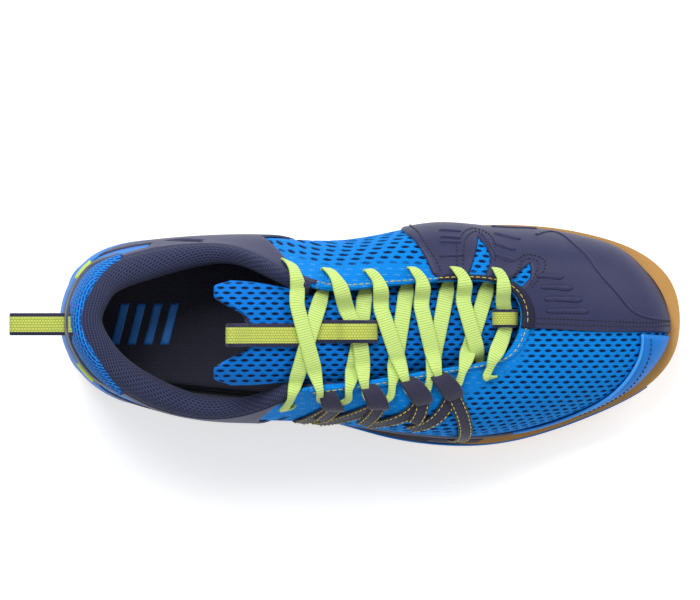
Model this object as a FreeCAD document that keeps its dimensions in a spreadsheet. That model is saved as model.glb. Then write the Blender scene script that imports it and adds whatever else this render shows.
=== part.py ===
"""A right-foot indoor court shoe as an assembly of its sewn, moulded and laced pieces.

Frame: +X towards the toe, +Y towards the medial (big toe) side, +Z up, millimetres.
The origin is on the ground plane under the middle of the sole.
"""
import FreeCAD, Part
import math
import os

Vec = FreeCAD.Vector
doc = FreeCAD.newDocument("court_shoe")

# ---------------------------------------------------------------- driving dimensions
SIZES = {
    "outsole_base": 4.5,        # rubber under the foot, tread included
    "tread_depth": 1.6,
    "groove_width": 1.7,
    "groove_pitch": 9.0,
    "part_gap": 0.2,            # glue line between stacked sole parts
    "shank_length": 74.0,
    "shank_width": 34.0,
    "shank_thick": 1.6,
    "board_thick": 1.4,
    "footbed_thick": 4.5,
    "mesh_thick": 1.6,
    "lining_thick": 1.0,
    "overlay_thick": 0.8,
    "webbing_width": 10.7,
    "webbing_thick": 1.1,
    "strap_width": 5.6,
    "lace_width": 6.2,
    "lace_thick": 1.3,
    "eyelet_dia": 5.0,
    "tongue_radius": 42.0,      # crown of the tongue across the instep
    "tongue_foam": 4.4,
    "tongue_cloth": 1.0,
    "heel_loop_length": 27.0,
    "heel_loop_height": 3.4,
}
sheet = doc.addObject("Spreadsheet::Sheet", "sizes")
for row, (alias, value) in enumerate(SIZES.items(), start=1):
    sheet.set(f"A{row}", alias)
    sheet.set(f"B{row}", str(value))
    sheet.setAlias(f"B{row}", alias)
doc.recompute()


def size(alias):
    return float(sheet.get(alias))


# ---------------------------------------------------------------- outlines in plan
# Widest edge of the sole, from the heel round the medial side to the toe and back.
SOLE_OUTLINE = [
    (-150, 0), (-147.3, 17), (-140, 28), (-120, 37.5), (-95, 39), (-65, 36.5), (-35, 32.5), (-8, 33.5),
    (18, 40), (42, 46), (66, 47.6), (90, 46), (112, 41.5), (132, 33.5), (146, 20), (150.4, 1),
    (147, -16.5), (135, -31), (112, -43.5), (82, -54.5), (50, -59.8), (15, -57), (-12, -50),
    (-40, -44), (-70, -41), (-97, -40.5), (-120, -36.5), (-139, -26), (-147.3, -15),
]

# One row per station round the shoe: where the upper meets the sole (x, y), then the point of the
# top edge (x, y, z) that the station's profile rises to: the collar behind, the throat in front.
STATIONS = [
    (-144, 0, -137, 0.5, 88), (-139, 19, -132.5, 15, 86), (-124, 31, -123, 25, 81.5),
    (-95, 35, -103, 32, 74), (-66, 36, -80, 35, 70), (-38, 34, -59, 32, 73), (-12, 34, -38, 21.5, 82),
    (12, 39, -19, 15, 84), (36, 43, 2, 16, 79), (62, 43, 27, 18.5, 73), (85, 43, 48, 19.5, 68),
    (108, 39, 62, 17, 64.5), (128, 29, 69, 10.5, 62.5), (144, 2, 71, 1.5, 62),
    (137, -20, 68.5, -8, 62.5), (121, -34, 62, -16, 64), (98, -44, 48, -20, 67.5),
    (72, -51, 27, -23, 72.5), (45, -53, 2, -27, 78), (17, -50.5, -19, -30, 83),
    (-10, -46, -36, -33.5, 82), (-38, -42, -55, -41, 73), (-68, -39, -78, -44, 68),
    (-97, -36, -103, -38, 72), (-122, -31, -122, -26, 80), (-138, -18, -132, -13.5, 86),
]
COUNT = len(STATIONS)


def ease(start, end, x):
    """0 before start, 1 after end, and smooth between them."""
    t = min(1.0, max(0.0, (x - start) / (end - start)))
    return t * t * (3 - 2 * t)


def feather_z(x):
    """Height of the edge where the upper meets the sole: heel, forefoot, then the toe spring."""
    return 24 - 6.5 * ease(-60, 60, x) + 7.5 * max(0.0, (x - 70) / 75) ** 2


def ground_z(x):
    """Height of the tread: flat, then rising in the toe spring."""
    return 10.0 * max(0.0, (x - 70) / 80) ** 2


# ---------------------------------------------------------------- surface of the upper
def closed_poles(points):
    """Poles of the closed uniform cubic B-spline through the points (a cyclic 1-4-1 system)."""
    poles = [Vec(p) for p in points]
    for _ in range(40):
        for i, p in enumerate(points):
            around = poles[i - 1] + poles[(i + 1) % len(points)]
            poles[i] = (p * 6 - around) * 0.25
    return poles


def profile_controls():
    """The four control points of each station's profile, from the sole edge to the top edge."""
    feet = [Vec(s[0], s[1], feather_z(s[0])) for s in STATIONS]
    rows = ([], [], [], [])
    for i, s in enumerate(STATIONS):
        foot, top = feet[i], Vec(s[2], s[3], s[4])
        along = feet[(i + 1) % COUNT] - feet[i - 1]
        out = Vec(-along.y, along.x, 0).normalize()
        rise = top.z - foot.z
        fore = ease(-60, 10, top.x)
        toe = ease(40, 72, top.x)
        waist = ease(-85, -35, top.x) * (1 - ease(5, 45, top.x))
        medial = 1.0 if top.y > 0 else 0.0
        bulge = 9 * (1 - fore) + 6 * fore - 2 * toe + waist * (2 + 3 * medial)
        lift = 0.42 * (1 - fore) + 0.55 * fore - 0.02 * toe
        flat = 0.42 * fore + 0.25 * waist * fore
        lean = 2.5 * (1 - fore) + waist * (3 + 4 * medial)
        drop = 0.36 * (1 - fore) + 0.14 * fore + 0.02 * toe
        low = foot + out * bulge + Vec(0, 0, rise * lift)
        high = top + Vec(foot.x - top.x, foot.y - top.y, 0) * flat + out * lean - Vec(0, 0, rise * drop)
        for group, point in zip(rows, (foot, low, high, top)):
            group.append(point)
    return rows


POLES = [closed_poles(points) for points in profile_controls()]


def closed_curve(poles, u):
    i = math.floor(u)
    t = u - i
    weights = ((1 - t) ** 3, 3 * t ** 3 - 6 * t ** 2 + 4, -3 * t ** 3 + 3 * t ** 2 + 3 * t + 1, t ** 3)
    total = Vec()
    for k, weight in enumerate(weights):
        total += poles[(i - 1 + k) % len(poles)] * (weight / 6)
    return total


def skin(u, v):
    """Outer face of the mesh: u counts stations, v runs from the sole edge (0) to the top edge (1)."""
    weights = ((1 - v) ** 3, 3 * v * (1 - v) ** 2, 3 * v * v * (1 - v), v ** 3)
    total = Vec()
    for poles, weight in zip(POLES, weights):
        total += closed_curve(poles, u) * weight
    return total


def skin_normal(u, v):
    step = 1e-3
    across = skin(u + step, v) - skin(u - step, v)
    up = skin(u, v + step) - skin(u, v - step)
    return up.cross(across).normalize()


def layer(u, v, out, up=0.0):
    """A point at a distance out from the skin, and up above it."""
    return skin(u, v) + skin_normal(u, v) * out + Vec(0, 0, up)


# ---------------------------------------------------------------- building blocks
NODES = []


def keep(shape, label):
    """Adds a finished shape to the document as a node of its own."""
    piece = doc.addObject("Part::Feature", label)
    piece.Shape = shape
    piece.Label = label
    NODES.append(piece)
    return piece


def keep_object(piece, label):
    piece.Label = label
    NODES.append(piece)
    return piece


def steps(start, end, pitch):
    """Numbers from start to end, about one pitch apart."""
    count = max(2, int(round((end - start) / pitch)) + 1)
    return [start + (end - start) * k / (count - 1) for k in range(count)]


def curve_through(points, params=None):
    curve = Part.BSplineCurve()
    last = len(points) - 1
    curve.interpolate(Points=points, Parameters=params or [k / last for k in range(last + 1)])
    return curve


def ruled(curve_a, curve_b):
    """The ruled face between two curves that run the same way."""
    surface = Part.BSplineSurface()
    surface.buildFromNSections([curve_a, curve_b])
    return surface.toShape()


def strip_wire(side_a, side_b):
    """A closed profile with two curved sides and two straight ends."""
    sides = [curve_through(side).toShape() for side in (side_a, side_b)]
    ends = [Part.makeLine(side_a[k], side_b[k]) for k in (0, -1)]
    return Part.Wire(Part.__sortEdges__(sides + ends))


def sewn(faces):
    """One solid from faces that meet edge to edge."""
    skin_faces = Part.makeCompound(faces)
    skin_faces.sewShape(1e-3)
    solid = Part.Solid(skin_faces.Shells[0])
    if solid.Volume < 0:
        solid.reverse()
    return solid


def between(outer, inner):
    """The solid between two grids of points, with ruled faces round its rim."""
    surfaces = []
    for grid in (outer, inner):
        surface = Part.BSplineSurface()
        surface.interpolate(grid)
        surfaces.append(surface)
    faces = [surface.toShape() for surface in surfaces]
    limits = [surface.bounds() for surface in surfaces]
    for k in (0, 1):
        for iso, at in (("uIso", k), ("vIso", 2 + k)):
            rims = [getattr(surface, iso)(limit[at]) for surface, limit in zip(surfaces, limits)]
            faces.append(ruled(*rims))
    return sewn(faces)


def panel(label, u0, u1, v0, v1, outer, inner, pitch=0.5):
    """A sewn panel: part of a layer between two stations and two heights, or functions of u."""
    low = v0 if callable(v0) else (lambda u: v0)
    high = v1 if callable(v1) else (lambda u: v1)
    grids = []
    for out in (outer, inner):
        grids.append([
            [layer(u, low(u) + (high(u) - low(u)) * k / 7, out) for k in range(8)]
            for u in steps(u0, u1, pitch)
        ])
    return keep(between(*grids), label)


def ribbon(path, width, thick):
    """A flat band along a list of (point, width direction, own width if it differs)."""
    rails, params = ([], [], [], []), [0.0]
    for k, (point, across, *narrow) in enumerate(path):
        if k:
            params.append(params[-1] + (point - path[k - 1][0]).Length)
        ahead = path[min(k + 1, len(path) - 1)][0] - path[max(k - 1, 0)][0]
        side = Vec(across)
        side = (side - ahead * (side.dot(ahead) / ahead.dot(ahead))).normalize()
        face = side.cross(ahead).normalize() * (thick / 2)
        side = side * ((narrow[0] if narrow else width) / 2)
        for rail, corner in zip(rails, (-side - face, side - face, side + face, face - side)):
            rail.append(point + corner)
    edges = [curve_through(rail, params) for rail in rails]
    faces = [ruled(edges[k], edges[(k + 1) % 4]) for k in range(4)]
    for end in (0, -1):
        corners = [rail[end] for rail in rails]
        faces.append(Part.Face(Part.makePolygon(corners + corners[:1])))
    return sewn(faces)


# ---------------------------------------------------------------- sole
def sole_outline(rear_inset, fore_inset, points=SOLE_OUTLINE):
    """The sole's edge moved inwards, by one distance at the heel and another at the forefoot."""
    moved = []
    for i, (x, y) in enumerate(points):
        before, after = points[i - 1], points[(i + 1) % len(points)]
        out = Vec(before[1] - after[1], after[0] - before[0], 0).normalize()
        inset = rear_inset + (fore_inset - rear_inset) * ease(5, 40, x)
        moved.append(Vec(x, y, 0) - out * inset)
    return moved


FEATHER = [(s[0], s[1]) for s in STATIONS]
SOLE_TOP = 40.0      # taller than any sole part, before the side profile trims it
SIDE_END = 165.0     # beyond the heel and the toe
SIDE_HALF = 75.0     # beyond both sides


def plan_block(name, points):
    """A sketched closed outline on the ground plane, extruded upwards."""
    sketch = doc.addObject("Sketcher::SketchObject", name + "_plan")
    curve = Part.BSplineCurve()
    curve.interpolate(Points=points, PeriodicFlag=True)
    sketch.addGeometry(curve, False)
    block = doc.addObject("Part::Extrusion", name + "_block")
    block.Base = sketch
    block.DirMode = "Normal"
    block.LengthFwd = SOLE_TOP
    block.Solid = True
    return block


def side_slab(name, bottom, top):
    """What lies between two curves of the side view, across the whole width."""
    xs = steps(-SIDE_END, SIDE_END, 15)
    low = [Vec(x, -SIDE_HALF, bottom(x)) for x in xs]
    high = [Vec(x, -SIDE_HALF, top(x)) for x in xs]
    slab = doc.addObject("Part::Feature", name + "_side")
    slab.Shape = Part.Face(strip_wire(low, high)).extrude(Vec(0, 2 * SIDE_HALF, 0))
    return slab


def boolean(kind, name, base, tool):
    made = doc.addObject("Part::" + kind, name)
    made.Base = base
    made.Tool = tool
    return made


def base_top(x):
    return ground_z(x) + size("outsole_base")


def cup_top(x):
    """Top of the rubber wall: low along the waist, and up to the upper's edge round the forefoot."""
    return base_top(x) + (feather_z(x) + 1.0 - base_top(x)) * ease(15, 62, x)


def groove_cutter():
    """Zigzag grooves across the tread, as one compound of straight-walled channels."""
    pitch, width, depth = size("groove_pitch"), size("groove_width"), size("tread_depth")
    legs = 9
    channels = []
    for k in range(33):
        x = -142 + pitch * k
        rim = [(x + (3.2 if n % 2 else -3.2), -63 + 126 * n / legs) for n in range(legs + 1)]
        outline = [Vec(a, b, -1) for a, b in rim] + [Vec(a + width, b, -1) for a, b in reversed(rim)]
        face = Part.Face(Part.makePolygon(outline + outline[:1]))
        channels.append(face.extrude(Vec(0, 0, 1 + depth + ground_z(x))))
    return Part.makeCompound(channels)


def make_outsole():
    plan = plan_block("outsole", sole_outline(2.4, 0))
    slab = boolean("Common", "outsole_cup", plan, side_slab("outsole", ground_z, cup_top))
    inner_plan = plan_block("cup_inside", sole_outline(-14, -1.2, FEATHER))
    inside = boolean("Common", "cup_space", inner_plan, side_slab("cup_space", base_top, lambda x: SOLE_TOP))
    cup = boolean("Cut", "outsole_hollowed", slab, inside)
    grooves = doc.addObject("Part::Feature", "tread_grooves")
    grooves.Shape = groove_cutter()
    return keep_object(boolean("Cut", "outsole_grooved", cup, grooves), "outsole")


def make_midsole():
    gap = size("part_gap")
    plan = plan_block("midsole", sole_outline(0, 0))
    within_cup = plan_block("midsole_fore", sole_outline(-14 + gap, -1.2 + gap, FEATHER))
    slab = side_slab("midsole", lambda x: base_top(x) + gap, lambda x: feather_z(x) - gap)
    trimmed = boolean("Common", "midsole_outline", plan, within_cup)
    wedge = boolean("Common", "midsole_wedge", trimmed, slab)
    recess = doc.addObject("Part::Box", "shank_recess")
    recess.setExpression("Length", "sizes.shank_length + 0.8")
    recess.setExpression("Width", "sizes.shank_width + 0.8")
    recess.setExpression("Height", "sizes.shank_thick + 0.8")
    recess.Placement.Base = Vec(SHANK_X - 0.4, SHANK_Y - 0.4, base_top(0))
    return keep_object(boolean("Cut", "midsole_recessed", wedge, recess), "midsole")


SHANK_X, SHANK_Y = -52.0, -21.0


def make_shank():
    plate = doc.addObject("Part::Box", "shank_plate")
    plate.setExpression("Length", "sizes.shank_length")
    plate.setExpression("Width", "sizes.shank_width")
    plate.setExpression("Height", "sizes.shank_thick")
    plate.Placement.Base = Vec(SHANK_X, SHANK_Y, base_top(0) + size("part_gap"))
    doc.recompute()
    rounded = doc.addObject("Part::Fillet", "shank_rounded")
    rounded.Base = plate
    upright = [i + 1 for i, e in enumerate(plate.Shape.Edges) if abs(e.tangentAt(0).z) > 0.9]
    rounded.Edges = [(i, 6.0, 6.0) for i in upright]
    return keep_object(rounded, "midfoot_shank")


def make_boards():
    """The sewn-in board that closes the upper's underside, and the loose footbed above it."""
    board_low = 0.3
    board_top = board_low + size("board_thick")
    bed_low = board_top + 0.3
    for label, inset, low, high in (
        ("lasting_board", 4.6, board_low, board_top),
        ("footbed", 5.4, bed_low, bed_low + size("footbed_thick")),
    ):
        plan = plan_block(label, sole_outline(inset, inset, FEATHER))
        slab = side_slab(label, lambda x: feather_z(x) + low, lambda x: feather_z(x) + high)
        keep_object(boolean("Common", label + "_cut", plan, slab), label)


# ---------------------------------------------------------------- tongue
# Crest of the tongue: x, y of its middle, z of its crest, half its width.
TONGUE = [
    (80, 2, 52, 13), (71, 1.5, 55.5, 17), (60, 0.5, 60.3, 22), (48, -0.2, 64, 25), (27, -2.2, 70, 26),
    (2, -5.5, 76.5, 26), (-19, -8.6, 81.5, 22.4), (-37, -6.5, 87.5, 22), (-55, -5.5, 96, 24),
    (-73, -5, 105, 24.5),
]
FLEX_X = -37.0


def tongue_at(x):
    """Middle, crest height and half width of the tongue at x, by smooth cubic steps between rows."""
    k = 0
    while k < len(TONGUE) - 2 and x < TONGUE[k + 1][0]:
        k += 1
    a, b = TONGUE[k], TONGUE[k + 1]
    t = (x - a[0]) / (b[0] - a[0])
    before, after = TONGUE[max(k - 1, 0)], TONGUE[min(k + 2, len(TONGUE) - 1)]
    span = b[0] - a[0]
    out = []
    for n in (1, 2, 3):
        slope_a = (b[n] - before[n]) / (b[0] - before[0]) * span
        slope_b = (after[n] - a[n]) / (after[0] - a[0]) * span
        out.append(
            a[n] * (2 * t ** 3 - 3 * t * t + 1) + slope_a * (t ** 3 - 2 * t * t + t)
            + b[n] * (3 * t * t - 2 * t ** 3) + slope_b * (t ** 3 - t * t)
        )
    return out


def tongue_z(x, y):
    middle, crest, _ = tongue_at(x)
    return crest - (y - middle) ** 2 / (2 * size("tongue_radius"))


def tongue_layer(label, x0, x1, top, bottom, trim):
    """One cloth or foam layer of the tongue between two places along the shoe."""
    wires = []
    for x in steps(x1, x0, 6):
        middle, crest, half = tongue_at(x)
        half -= trim
        sag = half * half / (2 * size("tongue_radius"))
        ends = []
        for z in (crest - top, crest - bottom):
            ends.append([Vec(x, middle - half, z - sag), Vec(x, middle, z), Vec(x, middle + half, z - sag)])
        edges = [
            Part.Arc(*ends[0]).toShape(), Part.makeLine(ends[0][2], ends[1][2]),
            Part.Arc(*ends[1]).toShape(), Part.makeLine(ends[1][0], ends[0][0]),
        ]
        wires.append(Part.Wire(Part.__sortEdges__(edges)))
    solid = Part.makeLoft(wires, True, False)
    scoop = Part.makeCylinder(25 - trim, 80, Vec(-84, -5, 60))
    return keep(solid.cut(scoop) if x1 < -60 else solid, label)


def make_tongue():
    cloth, foam, gap = size("tongue_cloth"), size("tongue_foam"), 0.3
    depths = (
        ("face", 0.0, cloth, 0.0),
        ("foam", cloth + gap, cloth + gap + foam, 1.5),
        ("lining", cloth + 2 * gap + foam, 2 * cloth + 2 * gap + foam, 0.0),
    )
    for part, top, bottom, trim in depths:
        tongue_layer("tongue_" + part + "_base", 78, FLEX_X + 0.5, top, bottom, trim)
        tongue_layer("tongue_" + part + "_top", FLEX_X - 0.5 - top * 0.12, -72.5, top, bottom, trim)


def over_tongue(x, y, height):
    return Vec(x, y, tongue_z(x, y) + height)


def make_tongue_webbing():
    """The pull loop on the tongue's free end, and the sewn keeper that the lace passes through."""
    wide, thick = size("webbing_width"), size("webbing_thick")
    across = Vec(0, 1, 0)
    top_y, keeper_y = -6.3, -4.6
    loop_path = [over_tongue(x, top_y, 0.45 + thick / 2) for x in steps(FLEX_X - 0.8, -58, 5)]
    far, back, up = loop_path[-1], Vec(-0.894, 0, 0.447), Vec(0.447, 0, 0.894)
    fold = [(3, 0.2), (6, 0.5), (8, 0.8)]
    for angle in (-60, -30, 0, 30, 60, 90):
        turn = math.radians(angle)
        fold.append((8.4 + 1.9 * math.cos(turn), 2.7 + 1.9 * math.sin(turn)))
    fold += [(6.6, 4.3), (4, 3.5), (1, 2.5)]
    loop_path += [far + back * ahead + up * above for ahead, above in fold]
    loop_path += [over_tongue(x, top_y, 1.1 + thick * 1.5) for x in steps(-53, -40, 5)]
    keep(ribbon([(p, across) for p in loop_path], wide, thick), "tongue_pull_loop")
    heights = ((-33.5, 1.5), (-28, 1.5), (-19, 1.3), (-16, 2.2), (-13.2, 5.0), (-7.5, 6.9))
    heights += ((-2, 6.0), (1, 3.4), (2.6, 1.5))
    keeper = [(over_tongue(x, keeper_y, h), across) for x, h in heights]
    keep(ribbon(keeper, wide, thick), "tongue_lace_keeper")
    front = [(57.6, 1.2), (58.4, 2.7), (60.2, 4.6), (63.6, 5.4), (67, 4.6), (68.8, 2.7), (69.6, 1.2)]
    keep(ribbon([(over_tongue(x, 1.6, h), across) for x, h in front], 7.2, 1.0), "front_lace_keeper")


# ---------------------------------------------------------------- upper
def foam_share(u):
    """The collar's padding thins out towards the top eyelets."""
    return 1 - 0.8 * ease(2.6, 5.2, abs(u))


def make_upper():
    mesh = size("mesh_thick")
    seam = 0.02
    panel("heel_mesh", -1.6, 1.6, 0, 1, 0, -mesh)
    panel("medial_quarter_mesh", 1.6 + seam, 8.5 - seam, 0, 1, 0, -mesh)
    panel("vamp_mesh", 8.5, 17.5, 0, 1, 0, -mesh)
    panel("lateral_quarter_mesh", 17.5 + seam, COUNT - 1.6 - seam, 0, 1, 0, -mesh)
    panel("vamp_lining", 5.65, 20.35, 0.04, 0.97, -3.0, -3.0 - size("lining_thick"), 0.3)
    panel("toe_stiffener", 11, 15.5, 0.04, 0.4, -2.0, -2.5, 0.25)
    panel("heel_stiffener", -2.8, 2.8, 0.04, 0.55, -2.0, -2.5, 0.25)
    make_collar()


def make_collar():
    """Padding round the ankle, and the lining that runs from the footbed up and over it."""
    cloth = size("lining_thick")
    foam, lining = ([], []), ([], [])
    for u in steps(-5.1, 5.3, 0.3):
        k = foam_share(u)

        def face(v):
            return -(3.7 + 7.4 * k * ease(0.36, 0.76, v))

        high = [0.44 + 0.46 * n / 6 for n in range(7)]
        wall = [(v, -3.1, 0) for v in high] + [(1, -3.1, 0)]
        padding = [(v, face(v), 0) for v in high]
        padding += [(1, -3.7 - 5.8 * k, 0.9 * k), (1, -3.6 - 2.9 * k, 3 * k), (1, -3.4, 0.4 + 1.4 * k)]
        tall = [0.05 + 0.85 * n / 11 for n in range(12)]
        near = [(v, face(v) + 0.5 - 0.9 * ease(0.25, 0.44, v), 0) for v in tall]
        near += [(1, -4.2 - 5.9 * k, 1.1 * k), (1, -3.6 - 2.9 * k, 0.5 + 3.1 * k), (1, -2.3, 1.1 + 1.5 * k)]
        far = [(v, out - cloth, up) for v, out, up in near[:-3]]
        far += [(1, -5 - 5.9 * k, 0.8 + 1.4 * k), (1, -3.6 - 2.9 * k, 1.5 + 3.2 * k)]
        far += [(1, -2.1, 2.1 + 1.6 * k)]
        for grid, side in zip(foam + lining, (wall, padding, near, far)):
            grid.append([layer(u, v, out, up) for v, out, up in side])
    keep(between(*foam), "collar_foam")
    keep(between(*lining), "collar_lining")


def make_overlays():
    thick, lift, fine = size("overlay_thick"), 0.4, 0.2
    outside = lift + thick

    def toe_overlay_top(u):
        return 0.4 + 0.52 * ease(7.4, 9.1, u)

    def counter_bottom(u):
        return 0.035 + 0.38 * ease(4.5, 6.2, abs(u))

    def counter_top(u):
        return 0.74 + 0.2 * ease(1.8, 3.6, abs(u))

    def wrap_top(u):
        return 0.42 - 0.2 * ease(1.2, 3, abs(u))

    panel("toe_overlay", 7.5, 13.25, 0.07, toe_overlay_top, outside, lift, fine)
    panel("toe_guard", 13.35, 17.3, 0.07, lambda u: 0.38 - 0.22 * ease(13.4, 16.4, u), outside, lift, fine)
    panel("throat_trim", 6.9, 19.1, 0.94, 0.995, outside, lift, fine)
    panel("heel_counter", -4.9, 6.1, counter_bottom, counter_top, outside, lift, fine)
    film = outside + 0.5
    panel("heel_wrap_film", -3.0, 3.0, 0.07, wrap_top, film + 0.6, film, fine)
    inserts = [panel("insert", u0, u0 + 0.75, 0.54, 0.64, film + 0.6, film, fine) for u0 in (0.95, -1.7)]
    both = Part.makeCompound([piece.Shape for piece in inserts])
    for piece in inserts:
        NODES.remove(piece)
        doc.removeObject(piece.Name)
    keep(both, "heel_accent_inserts")


# Each side strap as (u, v) places: foot of the rear leg, foot of the front leg, where the legs
# meet, and where the strap has passed over the lace and reached the throat.
SIDE_STRAPS = [
    ((18.53, 0.50), (17.85, 0.14), (17.18, 0.79), (17.00, 0.95)),
    ((19.28, 0.47), (18.28, 0.62), (17.75, 0.81), (17.52, 0.955)),
    ((20.3, 0.40), (19.25, 0.52), (18.55, 0.80), (18.30, 0.95)),
    ((20.55, 0.46), (20.0, 0.55), (19.38, 0.77), (19.19, 0.94)),
]
# Where the lace turns back under each side strap: front and rear place, as (u, v).
STRAP_TURNS = [((16.78, 0.875), (17.16, 0.88)), ((17.38, 0.89), (17.74, 0.89)),
               ((18.10, 0.885), (18.51, 0.885)), ((18.93, 0.87), (19.45, 0.865))]


def surface_ribbon(ends, out, width, thick):
    """A band laid on the upper between two (u, v) places."""
    (ua, va), (ub, vb) = ends
    path = []
    for t in steps(0, 1, 0.2):
        u, v = ua + (ub - ua) * t, va + (vb - va) * t
        ahead = skin(ub, vb) - skin(ua, va)
        path.append((layer(u, v, out), skin_normal(u, v).cross(ahead)))
    return ribbon(path, width, thick)


def make_side_straps():
    width, thick = size("strap_width"), 0.9
    for number, (rear, front, fork, throat) in enumerate(SIDE_STRAPS, start=1):
        pieces = [surface_ribbon((rear, fork), 1.0, width, thick)]
        pieces.append(surface_ribbon((front, fork), 2.2, width, thick))
        arch = []
        for t, rise in ((0, 3.6), (0.2, 5.0), (0.45, 6.1), (0.75, 6.1), (1, 5.5)):
            u = fork[0] + (throat[0] - fork[0]) * t
            v = fork[1] + 0.01 + (throat[1] - fork[1]) * t
            arch.append((layer(u, v, rise), skin(u - 0.2, v) - skin(u + 0.2, v)))
        pieces.append(ribbon(arch, width * 0.9, thick))
        keep(Part.makeCompound(pieces), f"side_strap_{number}")


# ---------------------------------------------------------------- heel pull loop
HEEL_HINGE = Vec(-141.1, -1.2, 84.0)


def make_heel_loop():
    """A flattened loop of webbing behind the collar, and the sewn stub that it swings from."""
    long, high = size("heel_loop_length"), size("heel_loop_height")
    wide, thick = size("webbing_width"), size("webbing_thick")
    faces = []
    for inset in (0.0, thick):
        r = high / 2 - inset
        x0, x1 = HEEL_HINGE.x - 0.9 - inset, HEEL_HINGE.x - long + high / 2
        z = HEEL_HINGE.z
        edges = [
            Part.makeLine(Vec(x0, 0, z + r), Vec(x1, 0, z + r)),
            Part.Arc(Vec(x1, 0, z + r), Vec(x1 - r, 0, z), Vec(x1, 0, z - r)).toShape(),
            Part.makeLine(Vec(x1, 0, z - r), Vec(x0, 0, z - r)),
            Part.makeLine(Vec(x0, 0, z - r), Vec(x0, 0, z + r)),
        ]
        faces.append(Part.Face(Part.Wire(edges)))
    loop = faces[0].cut(faces[1]).extrude(Vec(0, wide, 0))
    loop.translate(Vec(0, HEEL_HINGE.y - wide / 2, 0))
    keep(loop, "heel_pull_loop")
    stub = doc.addObject("Part::Box", "heel_loop_stub")
    stub.Length = 1.4
    stub.setExpression("Width", "sizes.webbing_width")
    stub.setExpression("Height", "sizes.webbing_thick * 2.3")
    stub.Placement.Base = Vec(HEEL_HINGE.x + 0.8, HEEL_HINGE.y - wide / 2, HEEL_HINGE.z - thick * 1.15)
    keep_object(stub, "heel_loop_stub")


# ---------------------------------------------------------------- lace
# Eyelets from the toe to the ankle as (u, v): punched holes on the medial side.
MEDIAL_HOLES = [(10.18, 0.86), (9.22, 0.88), (8.43, 0.90), (7.58, 0.89), (6.68, 0.86), (5.83, 0.90)]
LATERAL_HOLES = [(16.15, 0.86), (20.30, 0.84)]
BENEATH, ABOVE = -5.0, 3.0      # the lace's middle under the lining and over the overlays


def throat_edge(side, x):
    """Point of the throat's edge at x, on the medial (+1) or lateral (-1) side."""
    low, high = (5.5, 13.0) if side > 0 else (20.5, 13.2)
    for _ in range(40):
        mid = (low + high) / 2
        low, high = (mid, high) if skin(mid, 1).x < x else (low, mid)
    return skin(low, 1)


def crossing(start, end, start_under, end_under, level, bend):
    """The lace over the tongue between two places, as points with their width directions.

    level is the lace's height over the tongue where it crosses, and bend pulls its middle forwards.
    """
    points = []
    for t in steps(0.06, 0.94, 0.08):
        p = start + (end - start) * t
        x = p.x + bend * math.sin(math.pi * t) ** 2
        first = t < 0.5
        edge = throat_edge(math.copysign(1, start.y if first else end.y), x)
        inside = abs(edge.y) - abs(p.y)
        sunk = start_under * ease(0.3, 0.14, t) + end_under * ease(0.76, 0.9, t)
        tucked = 1.25 + 0.8 * ease(10, -20, x)
        z = tongue_z(x, p.y) + level + (tucked - level) * sunk
        if not (start_under if first else end_under):
            crossed = 2.1 * ease(0.09, 0.18, min(t, 1 - t)) if level > 2 else 0
            fall = 0.75 if level > 2 else 1.0
            z = max(z, edge.z + 2.7 + crossed - fall * max(0.0, inside - 1.0))
        points.append((Vec(x, p.y, z), Vec(2, 0, tongue_z(x + 1, p.y) - tongue_z(x - 1, p.y))))
    return points


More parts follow.
